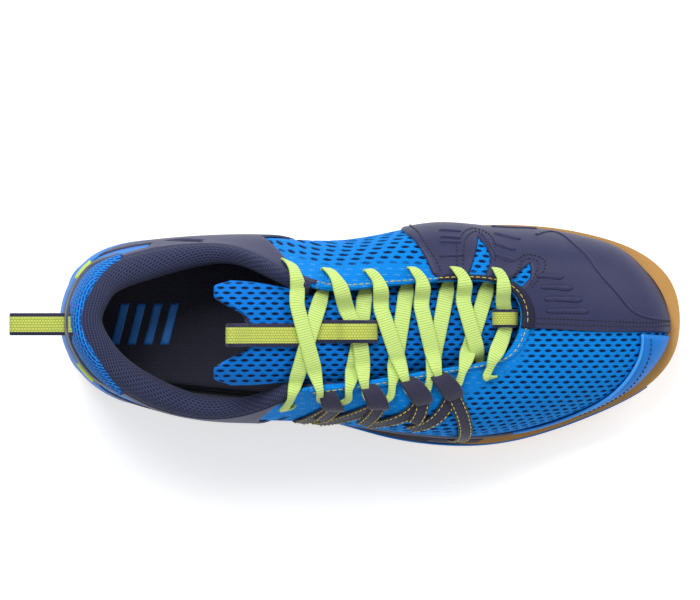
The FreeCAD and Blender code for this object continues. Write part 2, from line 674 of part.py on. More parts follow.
def lace_lengths():
    """The lace in lengths: one through each hole, over each gap and under each strap.

    Each length is a list of (point, width direction, width), and they follow each other end to end.
    """
    wide, bunched = size("lace_width"), 3.2
    lengths = []

    def hole(place, downwards):
        u, v = place
        across = skin(u - 0.1, v) - skin(u + 0.1, v)
        across = across if across.x > 0 else across * -1
        levels = [ABOVE, 1.7, 0, -1.8, -3.4, BENEATH]
        levels = levels if downwards else levels[::-1]
        lengths.append([(layer(u, v, out), across, bunched) for out in levels])

    def run(start, end, start_under, end_under, level, bend=0.0):
        over = crossing(start, end, start_under, end_under, level, bend)
        last = len(over) - 1
        narrowing = [wide * (0.8, 0.94, 1)[min(k, last - k, 2)] for k in range(last + 1)]
        lengths.append([(p, across, width) for (p, across), width in zip(over, narrowing)])

    def turn(number, forwards):
        front, rear = STRAP_TURNS[number]
        first, last = (rear, front) if forwards else (front, rear)
        path = []
        for t in (0.0, 0.25, 0.5, 0.75, 1.0):
            u = first[0] + (last[0] - first[0]) * t
            v = first[1] + (last[1] - first[1]) * t - 0.012 * math.sin(math.pi * t)
            path.append((layer(u, v, 2.6), skin(u, v - 0.1) - skin(u, v + 0.1), bunched))
        lengths.append(path)

    def medial(n):
        return layer(*MEDIAL_HOLES[n], ABOVE)

    def medial_beneath(n):
        return layer(*MEDIAL_HOLES[n], BENEATH)

    def strap(n, rear):
        return layer(*STRAP_TURNS[n][rear], 2.6)

    hole(MEDIAL_HOLES[5], False)
    run(medial(5), strap(3, 1), False, False, 4.8)
    turn(3, True)
    run(strap(3, 0), medial_beneath(3), False, True, 1.7, 1.0)
    hole(MEDIAL_HOLES[3], False)
    run(medial(3), strap(1, 1), False, False, 3.6)
    turn(1, True)
    run(strap(1, 0), medial_beneath(1), False, True, 1.7)
    hole(MEDIAL_HOLES[1], False)
    run(medial(1), layer(*LATERAL_HOLES[0], BENEATH), False, True, 4.2)
    hole(LATERAL_HOLES[0], False)
    run(layer(*LATERAL_HOLES[0], ABOVE), medial(0), False, False, 2.6, 7.0)
    hole(MEDIAL_HOLES[0], True)
    run(medial_beneath(0), strap(0, 0), True, False, 1.7)
    turn(0, False)
    run(strap(0, 1), medial(2), False, False, 3.6)
    hole(MEDIAL_HOLES[2], True)
    run(medial_beneath(2), strap(2, 0), True, False, 1.7)
    turn(2, False)
    run(strap(2, 1), medial(4), False, False, 3.6, 4.8)
    hole(MEDIAL_HOLES[4], True)
    run(medial_beneath(4), layer(*LATERAL_HOLES[1], ABOVE), True, False, 3.4)
    hole(LATERAL_HOLES[1], True)
    return lengths


def punch_eyelets():
    """Cuts the lace holes through every panel of the upper that they cross."""
    radius = size("eyelet_dia") / 2
    punches = []
    for u, v in MEDIAL_HOLES + LATERAL_HOLES:
        axis = skin_normal(u, v)
        punches.append(Part.makeCylinder(radius, 9, skin(u, v) + axis * 2, axis * -1))
    tools = Part.makeCompound(punches)
    for piece in NODES:
        if piece.Label.endswith(("_mesh", "vamp_lining", "toe_overlay", "heel_counter")):
            piece.Shape = piece.Shape.cut(tools)


def make_lace():
    wide, thick = size("lace_width"), size("lace_thick")
    keep(Part.makeCompound([ribbon(path, wide, thick) for path in lace_lengths()]), "lace")


make_outsole()
make_midsole()
make_shank()
make_boards()
make_upper()
make_overlays()
punch_eyelets()
make_side_straps()
make_tongue()
make_tongue_webbing()
make_heel_loop()
make_lace()
doc.recompute()

# ---------------------------------------------------------------- checks and files
os.makedirs("parts", exist_ok=True)
for piece in doc.Objects:
    if {"Invalid", "Error"} & set(piece.State):
        raise SystemExit(f"{piece.Label} failed: {piece.State}")
for piece in NODES:
    shape = piece.Shape
    if shape.isNull() or not shape.isValid() or not shape.Solids:
        raise SystemExit(f"{piece.Label} is not a valid solid")
    shape.exportStep(f"parts/{piece.Label}.step")
    print(f"{piece.Label:24s} solids {len(shape.Solids)} volume {shape.Volume:10.0f} mm3")
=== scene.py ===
# %% [markdown]
# # An indoor court shoe
#
# A right-foot court shoe for racket sports: a knitted blue upper, moulded films sewn over it, a
# padded collar and tongue, webbing straps, a flat lace and a gum rubber sole. The frame holds the
# engineered solids and the two joints, which are the tongue's flex and the heel loop's swing.
# Every visible soft piece is made again here in mesh code, on the same surface as the solids.

# %% Load the frame and keep its box
import math

import bpy
import numpy as np
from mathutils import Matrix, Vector
from mathutils.geometry import delaunay_2d_cdt


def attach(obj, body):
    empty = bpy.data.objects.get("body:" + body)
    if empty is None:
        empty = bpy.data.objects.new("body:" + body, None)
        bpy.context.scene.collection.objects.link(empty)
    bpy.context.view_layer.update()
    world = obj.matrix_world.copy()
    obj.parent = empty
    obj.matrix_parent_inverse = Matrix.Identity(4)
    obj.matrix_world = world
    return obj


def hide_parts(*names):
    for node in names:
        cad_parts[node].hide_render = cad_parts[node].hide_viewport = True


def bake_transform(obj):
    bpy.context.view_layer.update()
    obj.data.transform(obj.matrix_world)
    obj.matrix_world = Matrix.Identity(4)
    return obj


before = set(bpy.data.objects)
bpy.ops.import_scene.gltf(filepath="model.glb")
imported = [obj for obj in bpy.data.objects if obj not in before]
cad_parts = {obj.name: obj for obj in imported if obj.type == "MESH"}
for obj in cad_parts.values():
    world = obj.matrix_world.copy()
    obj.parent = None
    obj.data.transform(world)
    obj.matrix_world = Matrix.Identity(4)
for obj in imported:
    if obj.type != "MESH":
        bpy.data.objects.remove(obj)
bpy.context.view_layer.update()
MM = 0.001

# %% [markdown]
# ## Camera, lights and floor
#
# The shoe is seen from straight above, as in a catalogue. A long lens keeps the outlines true, and
# a small vertical shift places the shoe in the frame. Two large soft lamps and a pale world give
# even light with gentle shadows. The floor is only a white ground for the shadow.

# %% Camera
camera_data = bpy.data.cameras.new("camera")
camera_data.sensor_width = 36
camera_data.lens = 134.7
camera_data.shift_y = 0.0429
camera_data.clip_end = 20
camera = bpy.data.objects.new("camera", camera_data)
camera.location = (-9.94 * MM, -3.9 * MM, 1300 * MM)
bpy.context.scene.collection.objects.link(camera)
bpy.context.scene.camera = camera
bpy.context.scene.view_settings.view_transform = "Standard"
print("camera height in mm:", round(camera.location.z / MM))

# %% Lamps and world


def area_lamp(name, place, size, power):
    """A soft square lamp that points at the shoe."""
    data = bpy.data.lights.new(name, "AREA")
    data.size, data.energy = size, power
    lamp = bpy.data.objects.new(name, data)
    lamp.location = place
    lamp.rotation_euler = (Vector((0, 0, 0.04)) - Vector(place)).to_track_quat("-Z", "Y").to_euler()
    bpy.context.scene.collection.objects.link(lamp)


area_lamp("key_lamp", (-0.3, 0.8, 1.1), 0.7, 14.5)
area_lamp("fill_lamp", (0.6, -0.8, 0.9), 0.9, 3.6)
area_lamp("rim_lamp", (0.75, 0.55, 0.55), 0.5, 2.6)


def srgb(code):
    """Linear colour with alpha from an sRGB hex code."""
    parts = [int(code[i:i + 2], 16) / 255 for i in (0, 2, 4)]
    return [c / 12.92 if c <= 0.04045 else ((c + 0.055) / 1.055) ** 2.4 for c in parts] + [1.0]


def add(tree, kind, inputs=None, **settings):
    """Adds one shader node, sets its properties, and links or fills its inputs."""
    node = tree.nodes.new("ShaderNode" + kind)
    for key, value in settings.items():
        setattr(node, key, value)
    for key, value in (inputs or {}).items():
        if isinstance(value, bpy.types.NodeSocket):
            tree.links.new(value, node.inputs[key])
        else:
            node.inputs[key].default_value = value
    return node


world = bpy.data.worlds.new("studio")
world.use_nodes = True
world.node_tree.nodes.clear()
seen = add(world.node_tree, "LightPath").outputs["Is Camera Ray"]
dim = add(world.node_tree, "Background", {"Color": srgb("f4f6fa"), "Strength": 0.42})
white = add(world.node_tree, "Background", {"Color": (1, 1, 1, 1), "Strength": 1.0})
sky = add(world.node_tree, "MixShader", {0: seen, 1: dim.outputs[0], 2: white.outputs[0]})
add(world.node_tree, "OutputWorld", {"Surface": sky.outputs[0]})
bpy.context.scene.world = world

# %% Floor
floor_mesh = bpy.data.meshes.new("floor")
floor_mesh.from_pydata([(-4, -4, -0.0004), (4, -4, -0.0004), (4, 4, -0.0004), (-4, 4, -0.0004)], [],
                       [(0, 1, 2, 3)])
floor = bpy.data.objects.new("floor", floor_mesh)
bpy.context.scene.collection.objects.link(floor)
paper = bpy.data.materials.new("white_studio_paper")
paper.use_nodes = True
tree = paper.node_tree
tree.nodes.clear()
path = add(tree, "LightPath")
direct = add(tree, "Math", {0: path.outputs["Is Camera Ray"], 1: path.outputs["Is Glossy Ray"]},
             operation="MAXIMUM")
matte = add(tree, "BsdfDiffuse", {"Color": (0.9, 0.9, 0.9, 1)})
glow = add(tree, "Emission", {"Color": (1, 1, 1, 1), "Strength": 0.42})
both = add(tree, "AddShader", {0: matte.outputs[0], 1: glow.outputs[0]})
backdrop = add(tree, "MixShader", {0: direct.outputs[0], 1: matte.outputs[0], 2: both.outputs[0]})
add(tree, "OutputMaterial", {"Surface": backdrop.outputs[0]})
floor_mesh.materials.append(paper)

# %% [markdown]
# ## The surface of the last
#
# A shoe is shaped over a last, so one smooth surface carries almost every piece of the upper. Each
# station round the shoe has a point on the sole's edge and a point on the top edge, and a curved
# profile between them. A closed B-spline joins the stations. A place on the surface is (u, v): u
# counts stations from the heel round the medial side, and v rises from the sole to the top edge.

# %% Stations and the surface
STATIONS = np.array([
    (-144, 0, -137, 0.5, 88), (-139, 19, -132.5, 15, 86), (-124, 31, -123, 25, 81.5),
    (-95, 35, -103, 32, 74), (-66, 36, -80, 35, 70), (-38, 34, -59, 32, 73), (-12, 34, -38, 21.5, 82),
    (12, 39, -19, 15, 84), (36, 43, 2, 16, 79), (62, 43, 27, 18.5, 73), (85, 43, 48, 19.5, 68),
    (108, 39, 62, 17, 64.5), (128, 29, 69, 10.5, 62.5), (144, 2, 71, 1.5, 62),
    (137, -20, 68.5, -8, 62.5), (121, -34, 62, -16, 64), (98, -44, 48, -20, 67.5),
    (72, -51, 27, -23, 72.5), (45, -53, 2, -27, 78), (17, -50.5, -19, -30, 83),
    (-10, -46, -36, -33.5, 82), (-38, -42, -55, -41, 73), (-68, -39, -78, -44, 68),
    (-97, -36, -103, -38, 72), (-122, -31, -122, -26, 80), (-138, -18, -132, -13.5, 86),
], float)
COUNT = len(STATIONS)


def ease(start, end, x):
    t = np.clip((np.asarray(x, float) - start) / (end - start), 0, 1)
    return t * t * (3 - 2 * t)


def feather_z(x):
    return 24 - 6.5 * ease(-60, 60, x) + 7.5 * np.maximum(0, (np.asarray(x, float) - 70) / 75) ** 2


def ground_z(x):
    return 10 * np.maximum(0, (np.asarray(x, float) - 70) / 80) ** 2


def closed_poles(points):
    """Control points of the closed cubic B-spline that passes through the points."""
    n = len(points)
    matrix = np.eye(n) * 4 + np.roll(np.eye(n), 1, 0) + np.roll(np.eye(n), -1, 0)
    return np.linalg.solve(matrix / 6, points)


def closed_curve(poles, u):
    u = np.asarray(u, float)
    i = np.floor(u).astype(int)
    t = u - i
    weights = ((1 - t) ** 3, 3 * t ** 3 - 6 * t ** 2 + 4, -3 * t ** 3 + 3 * t ** 2 + 3 * t + 1, t ** 3)
    return sum(w[..., None] / 6 * poles[(i - 1 + k) % len(poles)] for k, w in enumerate(weights))


foot = np.c_[STATIONS[:, :2], feather_z(STATIONS[:, 0])]
top = STATIONS[:, 2:]
along = np.roll(foot, -1, 0)[:, :2] - np.roll(foot, 1, 0)[:, :2]
outward = np.c_[-along[:, 1], along[:, 0]] / np.linalg.norm(along, axis=1)[:, None]
rise = (top[:, 2] - foot[:, 2])[:, None]
fore, toe = ease(-60, 10, top[:, :1]), ease(40, 72, top[:, :1])
waist = ease(-85, -35, top[:, :1]) * (1 - ease(5, 45, top[:, :1]))
medial = (top[:, 1:2] > 0) * 1.0
bulge = 9 * (1 - fore) + 6 * fore - 2 * toe + waist * (2 + 3 * medial)
lift = 0.42 * (1 - fore) + 0.55 * fore - 0.02 * toe
flat = 0.42 * fore + 0.25 * waist * fore
lean = 2.5 * (1 - fore) + waist * (3 + 4 * medial)
drop = 0.36 * (1 - fore) + 0.14 * fore + 0.02 * toe
low = np.c_[foot[:, :2] + outward * bulge, foot[:, 2:] + rise * lift]
high = np.c_[top[:, :2] + (foot - top)[:, :2] * flat + outward * lean, top[:, 2:] - rise * drop]
POLES = [closed_poles(points) for points in (foot, low, high, top)]


def skin(u, v):
    """Points of the surface, in mm."""
    u, v = np.broadcast_arrays(np.asarray(u, float), np.asarray(v, float))
    weights = ((1 - v) ** 3, 3 * v * (1 - v) ** 2, 3 * v * v * (1 - v), v ** 3)
    return sum(w[..., None] * closed_curve(poles, u) for w, poles in zip(weights, POLES))


def skin_normal(u, v, step=1e-3):
    u, v = np.broadcast_arrays(np.asarray(u, float), np.asarray(v, float))
    normal = np.cross(skin(u, v + step) - skin(u, v - step), skin(u + step, v) - skin(u - step, v))
    return normal / np.linalg.norm(normal, axis=-1, keepdims=True)


def layer(u, v, out, up=0.0):
    """Points at a distance out from the surface, and up above it."""
    points = skin(u, v) + skin_normal(u, v) * np.asarray(out, float)[..., None]
    points[..., 2] += up
    return points


print("throat length in mm:", round(float(skin(13, 1)[0] - skin(6, 1)[0])))

# %% [markdown]
# The cloth's own coordinates matter as much as its shape: a knit keeps its stitch size. Here each
# point's cloth place is its distance down from the top edge, laid out flat in plan, so patterns in
# millimetres run along the shoe and wrap round the toe with little stretch.

# %% Cloth coordinates
girth_v = np.linspace(0, 1, 41)
girth_u = np.arange(0, COUNT, 0.1)
ladder = skin(girth_u[:, None], girth_v[None])
lengths = np.linalg.norm(np.diff(ladder, axis=1), axis=2)
GIRTH = np.concatenate([np.zeros((len(girth_u), 1)), np.cumsum(lengths[:, ::-1], axis=1)], axis=1)[:, ::-1]


def cloth_place(u, v):
    """Flat cloth coordinates in mm of places on the surface."""
    u, v = np.broadcast_arrays(np.asarray(u, float), np.asarray(v, float))
    row = (u % COUNT) * 10
    i, j = np.floor(row).astype(int), np.clip(v * 40, 0, 39.999).astype(int)
    a, b = row - i, np.clip(v, 0, 1) * 40 - j
    i, n = i % len(girth_u), (i + 1) % len(girth_u)
    girth = ((GIRTH[i, j] * (1 - a) + GIRTH[n, j] * a) * (1 - b)
             + (GIRTH[i, j + 1] * (1 - a) + GIRTH[n, j + 1] * a) * b)
    edge, base = closed_curve(POLES[3], u)[..., :2], closed_curve(POLES[0], u)[..., :2]
    way = (base - edge) / np.linalg.norm(base - edge, axis=-1, keepdims=True)
    return edge + way * girth[..., None]


print("girth from collar to sole at the heel in mm:", round(float(GIRTH[0, 0])))

# %% [markdown]
# ## Making pieces
#
# Three kinds of mesh cover the whole shoe. A shell is two grids of points joined round the rim. A
# patch is a thin film cut to an outline and laid on the surface, with a rounded edge. A band is a
# flat section swept along a smooth path, for webbing, lace and ribs. Each piece keeps its cloth
# coordinates in millimetres as a UV map, so the materials can draw stitches at their real size.

# %% Pieces and shells


def make_piece(name, points, faces, cloth, materials, body="shoe", slot=None, replaces=(), faces_of=None,
               open_knit=None):
    """A mesh object from points in mm, riding on a body of the frame."""
    mesh = bpy.data.meshes.new(name)
    mesh.from_pydata((np.asarray(points, float) * MM).tolist(), [], [tuple(map(int, f)) for f in faces])
    uv = mesh.uv_layers.new(name="cloth")
    corner = np.empty(len(mesh.loops), int)
    mesh.loops.foreach_get("vertex_index", corner)
    uv.data.foreach_set("uv", np.asarray(cloth, float)[corner].ravel())
    mesh.polygons.foreach_set("use_smooth", [True] * len(mesh.polygons))
    for material in materials:
        mesh.materials.append(material)
    if faces_of is not None:
        mesh.polygons.foreach_set("material_index", np.asarray(faces_of, int))
    if open_knit is not None:
        mesh.attributes.new("open_knit", "FLOAT", "POINT").data.foreach_set(
            "value", np.asarray(open_knit, float).ravel())
    mesh.validate()
    mesh.update()
    piece = bpy.data.objects.new(name, mesh)
    bpy.context.scene.collection.objects.link(piece)
    if body:
        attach(piece, body)
    if replaces:
        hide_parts(*replaces)
    return piece


def grid_faces(rows, columns, first=0, turned=False, ring=False):
    """Quads of a grid of points; ring joins the last row to the first."""
    i, j = np.meshgrid(np.arange(rows if ring else rows - 1), np.arange(columns - 1), indexing="ij")
    n = (i + 1) % rows
    quads = np.stack([i * columns + j, n * columns + j, n * columns + j + 1, i * columns + j + 1],
                     -1).reshape(-1, 4)
    return (quads[:, ::-1] if turned else quads) + first


def shell(name, outer, inner, cloth, materials, ring=False, two_sided=False, **more):
    """A closed sheet between an outer and an inner grid of points."""
    rows, columns = outer.shape[:2]
    count = rows * columns
    at = np.arange(count).reshape(rows, columns)
    faces = [grid_faces(rows, columns, 0, True, ring), grid_faces(rows, columns, count, False, ring)]
    strips = []
    for rim in (at[:, 0], at[::-1, -1]):
        closed = np.append(rim, rim[0]) if ring else rim
        strips.append(np.stack([closed[:-1], closed[1:], closed[1:] + count, closed[:-1] + count], -1))
    if not ring:
        for rim in (at[0, ::-1], at[-1]):
            strips.append(np.stack([rim[:-1], rim[1:], rim[1:] + count, rim[:-1] + count], -1))
    faces += strips
    points = np.concatenate([outer.reshape(-1, 3), inner.reshape(-1, 3)])
    both = np.concatenate([cloth.reshape(-1, 2)] * 2)
    if two_sided:
        more["faces_of"] = np.concatenate([np.full(len(f), 1 if k == 1 else 0) for k,
                                           f in enumerate(faces)])
    if "open_knit" in more:
        more["open_knit"] = np.concatenate([np.asarray(more["open_knit"]).ravel()] * 2)
    return make_piece(name, points, np.concatenate(faces), both, materials, **more)


# %% [markdown]
# A smooth path needs smooth frames too. The band helper passes a natural cubic spline through its
# points, its width directions and its widths at once, and sweeps a rounded flat section along it.

# %% Bands


def smooth_through(knots, values, at):
    """Natural cubic spline through rows of values, evaluated at other parameters."""
    n, h = len(knots), np.diff(knots)
    matrix, right = np.eye(n), np.zeros_like(values)
    for i in range(1, n - 1):
        matrix[i, i - 1:i + 2] = h[i - 1], 2 * (h[i - 1] + h[i]), h[i]
        right[i] = 6 * ((values[i + 1] - values[i]) / h[i] - (values[i] - values[i - 1]) / h[i - 1])
    second = np.linalg.solve(matrix, right)
    i = np.clip(np.searchsorted(knots, at) - 1, 0, n - 2)
    a, b, w = (knots[i + 1] - at)[:, None], (at - knots[i])[:, None], h[i][:, None]
    return ((second[i] * a ** 3 + second[i + 1] * b ** 3) / (6 * w)
            + (values[i] / w - second[i] * w / 6) * a
            + (values[i + 1] / w - second[i + 1] * w / 6) * b)


def band(name, path, across, widths, thick, material, step=1.2, sides=12, square=0.45, **more):
    """A flat band with rounded edges, swept along a smooth path. Units are mm."""
    path, across = np.asarray(path, float), np.asarray(across, float)
    across = across / np.linalg.norm(across, axis=1, keepdims=True)
    widths = np.broadcast_to(np.asarray(widths, float), (len(path),))
    knots = np.append(0, np.cumsum(np.linalg.norm(np.diff(path, axis=0), axis=1)))
    at = np.linspace(0, knots[-1], max(3, int(knots[-1] / step) + 1))
    values = smooth_through(knots, np.c_[path, across, widths], at)
    line, side, width = values[:, :3], values[:, 3:6], values[:, 6]
    ahead = np.gradient(line, axis=0)
    ahead /= np.linalg.norm(ahead, axis=1, keepdims=True)
    side -= ahead * (side * ahead).sum(1, keepdims=True)
    side /= np.linalg.norm(side, axis=1, keepdims=True)
    face = np.cross(side, ahead)
    turn = np.arange(sides) / sides * 2 * math.pi
    flat_x = np.sign(np.cos(turn)) * np.abs(np.cos(turn)) ** square
    flat_y = np.sign(np.sin(turn)) * np.abs(np.sin(turn)) ** square
    points = line[:, None] + side[:, None] * (flat_x[None, :, None] * width[:, None, None] / 2)
    points = points + face[:, None] * (flat_y[None, :, None] * thick / 2)
    n = len(at)
    cloth = np.stack([np.repeat(at[:, None], sides, 1), flat_x[None] * np.ones((n, 1)) * 5 + 5], -1)
    i, j = np.meshgrid(np.arange(n - 1), np.arange(sides), indexing="ij")
    k = (j + 1) % sides
    faces = np.stack([i * sides + j, i * sides + k, (i + 1) * sides + k, (i + 1) * sides + j],
                     -1).reshape(-1, 4)
    faces = [tuple(f) for f in faces] + [tuple(range(sides))[::-1],
                                         tuple(range((n - 1) * sides, n * sides))]
    return make_piece(name, points.reshape(-1, 3), faces, cloth.reshape(-1, 2), [material], **more)


# %% [markdown]
# A film has an outline of its own, cut by a die. The outline is sampled, a second line runs just
# inside it, and a Delaunay triangulation fills the middle with even points. The two lines give the
# film its rounded edge.

# %% Patches of film
FLAT_U, FLAT_V = 20.5, 62.0     # mm per station and per unit of height, near enough for cutting


def resample(outline, spacing=1.3):
    """An outline with extra points along its straight runs, in flat mm."""
    outline = np.asarray(outline, float) * (FLAT_U, FLAT_V)
    rows = []
    for a, b in zip(outline, np.roll(outline, -1, 0)):
        steps = max(1, int(np.linalg.norm(b - a) / spacing))
        rows += [a + (b - a) * k / steps for k in range(steps)]
    return np.array(rows)


def inset(loop, distance):
    """A closed line moved to its left by a distance."""
    ahead = np.roll(loop, -1, 0) - np.roll(loop, 1, 0)
    left = np.c_[-ahead[:, 1], ahead[:, 0]] / np.maximum(np.linalg.norm(ahead, axis=1, keepdims=True), 1e-9)
    return loop + left * distance


def inside(loop, points):
    """Which points lie inside a closed line."""
    x, y = points[:, 0, None], points[:, 1, None]
    ax, ay = loop[:, 0], loop[:, 1]
    bx, by = np.roll(ax, -1), np.roll(ay, -1)
    crossing = ((ay > y) != (by > y)) & (x < (bx - ax) * (y - ay) / np.where(by == ay, 1e-9, by - ay) + ax)
    return crossing.sum(1) % 2 == 1


def area_of(loop):
    return 0.5 * np.sum(loop[:, 0] * np.roll(loop[:, 1], -1) - np.roll(loop[:, 0], -1) * loop[:, 1])


def patch(name, outline, lift, thick, material, cuts=(), edge=0.7, spacing=2.0, **more):
    """A thin film on the surface: outline and cuts are lists of (u, v), lift and thick are in mm."""
    loops = []
    for k, line in enumerate([outline, *cuts]):
        loop = resample(line)
        if (area_of(loop) > 0) == (k > 0):
            loop = loop[::-1]
        loops.append(loop)
    rings = [inset(loop, edge) for loop in loops]
    low_corner, high_corner = loops[0].min(0), loops[0].max(0)
    xs = np.arange(low_corner[0], high_corner[0], spacing)
    ys = np.arange(low_corner[1], high_corner[1], spacing * 0.87)
    field = np.array([(x + spacing / 2 * (k % 2), y) for k, y in enumerate(ys) for x in xs])
    keep = inside(rings[0], field)
    for ring in rings[1:]:
        keep &= ~inside(ring, field)
    field = field[keep]
    rim = np.concatenate(rings)
    gap = np.min(np.linalg.norm(field[:, None] - rim[None], axis=2), axis=1) if len(field) else np.zeros(0)
    field = field[gap > spacing * 0.45]
    coords, edges = [], []
    for loop in loops + rings:
        first = len(coords)
        coords += [Vector(p) for p in loop]
        edges += [(first + k, first + (k + 1) % len(loop)) for k in range(len(loop))]
    outer_count = sum(len(loop) for loop in loops)
    coords += [Vector(p) for p in field]
    verts, _, triangles, sources, _, _ = delaunay_2d_cdt(coords, edges, [], 0, 1e-4)
    flat_points = np.array([tuple(v) for v in verts])
    middles = np.array([flat_points[list(t)].mean(0) for t in triangles])
    keep = inside(loops[0], middles)
    for loop in loops[1:]:
        keep &= ~inside(loop, middles)
    triangles = np.array([t for t, k in zip(triangles, keep) if k])
    on_edge = np.array([bool(s) and min(s) < outer_count for s in sources])
    u, v = flat_points[:, 0] / FLAT_U, flat_points[:, 1] / FLAT_V
    height = np.where(on_edge, lift + thick * 0.25, lift + thick)
    outer, inner = layer(u, v, height), layer(u, v, np.full(len(u), lift))
    count = len(u)
    pairs = {}
    for t in triangles:
        for a, b in ((t[0], t[1]), (t[1], t[2]), (t[2], t[0])):
            pairs[(a, b)] = (a, b)
    border = [(a, b) for a, b in pairs if (b, a) not in pairs]
    faces = [tuple(t[::-1]) for t in triangles] + [tuple(t + count) for t in triangles]
    faces += [(a, b, b + count, a + count) for a, b in border]
    cloth = cloth_place(u, v)
    return make_piece(name, np.concatenate([outer, inner]), faces, np.concatenate([cloth, cloth]),
                      [material], **more)


# %% [markdown]
# Stitches are tiny but they make a shoe look sewn. Each stitch is a short thread that rises out of
# the cloth and goes back in, and a whole seam is one mesh.

# %% Stitches


def path_on_skin(places, out, step=0.6):
    """Points along (u, v) places on the surface, evenly spaced, with the outward direction."""
    places = np.asarray(places, float)
    flat_places = places * (FLAT_U, FLAT_V)
    knots = np.append(0, np.cumsum(np.linalg.norm(np.diff(flat_places, axis=0), axis=1)))
    at = np.linspace(0, knots[-1], max(4, int(knots[-1] / step)))
    fine = smooth_through(knots, places, at) if len(places) > 2 else (
        places[0] + (places[1] - places[0]) * (at / knots[-1])[:, None])
    return layer(fine[:, 0], fine[:, 1], np.full(len(fine), out)), skin_normal(fine[:, 0], fine[:, 1])


def stitches(name, lines, material, pitch=3.1, length=2.1, radius=0.24, slot=None):
    """Seams of short threads along lines of (points, outward directions)."""
    ring = np.arange(6) / 6 * 2 * math.pi
    stations = [(-0.5, 0.15, -0.25), (-0.42, 0.85, 0.02), (0, 1.0, 0.22), (0.42, 0.85, 0.02),
                (0.5, 0.15, -0.25)]
    points, faces = [], []
    for line, normal in lines:
        knots = np.append(0, np.cumsum(np.linalg.norm(np.diff(line, axis=0), axis=1)))
        for middle in np.arange(pitch / 2, knots[-1], pitch):
            place = np.array([np.interp(middle, knots, line[:, k]) for k in range(3)])
            ahead = np.array([np.interp(middle + 0.8, knots, line[:, k]) for k in range(3)]) - np.array(
                [np.interp(middle - 0.8, knots, line[:, k]) for k in range(3)])
            ahead /= max(np.linalg.norm(ahead), 1e-9)
            up = np.array([np.interp(middle, knots, normal[:, k]) for k in range(3)])
            side = np.cross(up, ahead)
            side /= np.linalg.norm(side)
            up = np.cross(ahead, side)
            first = len(points)
            for along, thickness, height in stations:
                centre = place + ahead * along * length + up * height
                points += [centre + radius * thickness * (side * math.cos(a) + up * math.sin(a))
                           for a in ring]
            for k in range(len(stations) - 1):
                faces += [(first + k * 6 + j, first + k * 6 + (j + 1) % 6, first + k * 6 + 6 + (j + 1) % 6,
                           first + k * 6 + 6 + j) for j in range(6)]
            faces += [tuple(first + j for j in range(5, -1, -1)), tuple(first + 24 + j for j in range(6))]
    cloth = np.asarray(points)[:, :2]
    return make_piece(name, points, faces, cloth, [material], slot=slot)


print("helpers ready")

# %% [markdown]
# ## Cloths and films
#
# Every finish starts from what the real one is. The knit is an engineered polyester mesh, whose
# open cells are knitted in, so its pattern must keep one size in millimetres. Its large cells are
# lens-shaped, and a few Math nodes draw them. For the finer knits and weaves, the brick texture
# lays staggered cells: its bricks are the open cells and its mortar is the yarn.

# %% Material helpers


def finish(name):
    """A new material with an empty tree, and the cloth coordinates in mm."""
    material = bpy.data.materials.new(name)
    material.use_nodes = True
    material.node_tree.nodes.clear()
    return material, material.node_tree, add(material.node_tree, "UVMap", uv_map="cloth").outputs[0]


def close(tree, base, rough, height=None, depth=0.3, **sockets):
    """Ends a material: one Principled surface, with a bump from a height in mm."""
    inputs = {"Base Color": base, "Roughness": rough}
    if height is not None:
        inputs["Normal"] = add(tree, "Bump", {"Height": height, "Distance": depth * MM,
                                              "Strength": 0.9}).outputs[0]
    inputs.update({key.replace("_", " "): value for key, value in sockets.items()})
    surface = add(tree, "BsdfPrincipled", inputs)
    add(tree, "OutputMaterial", {"Surface": surface.outputs[0]})


def knit_cells(tree, cloth, width, height, yarn, smooth=0.35):
    """A mask of staggered open cells: 1 in a cell, 0 on the yarn. Sizes are in mm."""
    bricks = add(tree, "TexBrick", {"Vector": cloth, "Scale": 1.0, "Mortar Size": yarn,
                                    "Mortar Smooth": smooth,
                                    "Brick Width": width, "Row Height": height})
    return add(tree, "Math", {0: 1.0, 1: bricks.outputs["Fac"]}, operation="SUBTRACT").outputs[0]


CELL, ROW = 5.5, 2.5            # mm: pitch of the open cells along a row, and between rows
CELL_LONG, CELL_HIGH = 1.85, 0.72   # mm: half length and half height of a cell, which is lens-shaped


def lens_cells(tree, cloth, long, high):
    """A mask of staggered lens-shaped cells: 1 in a cell, 0 on the yarn."""
    wander = add(tree, "TexNoise", {"Vector": cloth, "Scale": 0.35, "Detail": 1.0}).outputs["Fac"]
    place = add(tree, "SeparateXYZ", {0: cloth})
    row_at = add(tree, "Math", {0: place.outputs["Y"], 1: ROW}, operation="DIVIDE").outputs[0]
    row = add(tree, "Math", {0: row_at}, operation="FLOOR").outputs[0]
    wander = add(tree, "Math", {0: wander, 1: 0.2}, operation="MULTIPLY").outputs[0]
    shift = add(tree, "Math", {0: row, 1: 0.5, 2: wander}, operation="MULTIPLY_ADD").outputs[0]
    column = add(tree, "Math", {0: place.outputs["X"], 1: 1 / CELL, 2: shift},
                 operation="MULTIPLY_ADD").outputs[0]
    axes = []
    for at, pitch, half in ((column, CELL, long), (row_at, ROW, high)):
        part = add(tree, "Math", {0: at}, operation="FRACT").outputs[0]
        centred = add(tree, "Math", {0: part, 1: 0.5}, operation="SUBTRACT").outputs[0]
        scaled = add(tree, "Math", {0: centred, 1: pitch / half}, operation="MULTIPLY").outputs[0]
        axes.append(add(tree, "Math", {0: scaled}, operation="ABSOLUTE").outputs[0])
    flat = add(tree, "Math", {0: axes[0], 1: 1.7}, operation="POWER").outputs[0]
    tall = add(tree, "Math", {0: axes[1], 1: 1.7}, operation="POWER").outputs[0]
    away = add(tree, "Math", {0: flat, 1: tall}, operation="ADD").outputs[0]
    return add(tree, "MapRange", {0: away, 1: 1.25, 2: 0.55, 3: 0.0, 4: 1.0},
               interpolation_type="SMOOTHSTEP").outputs[0]


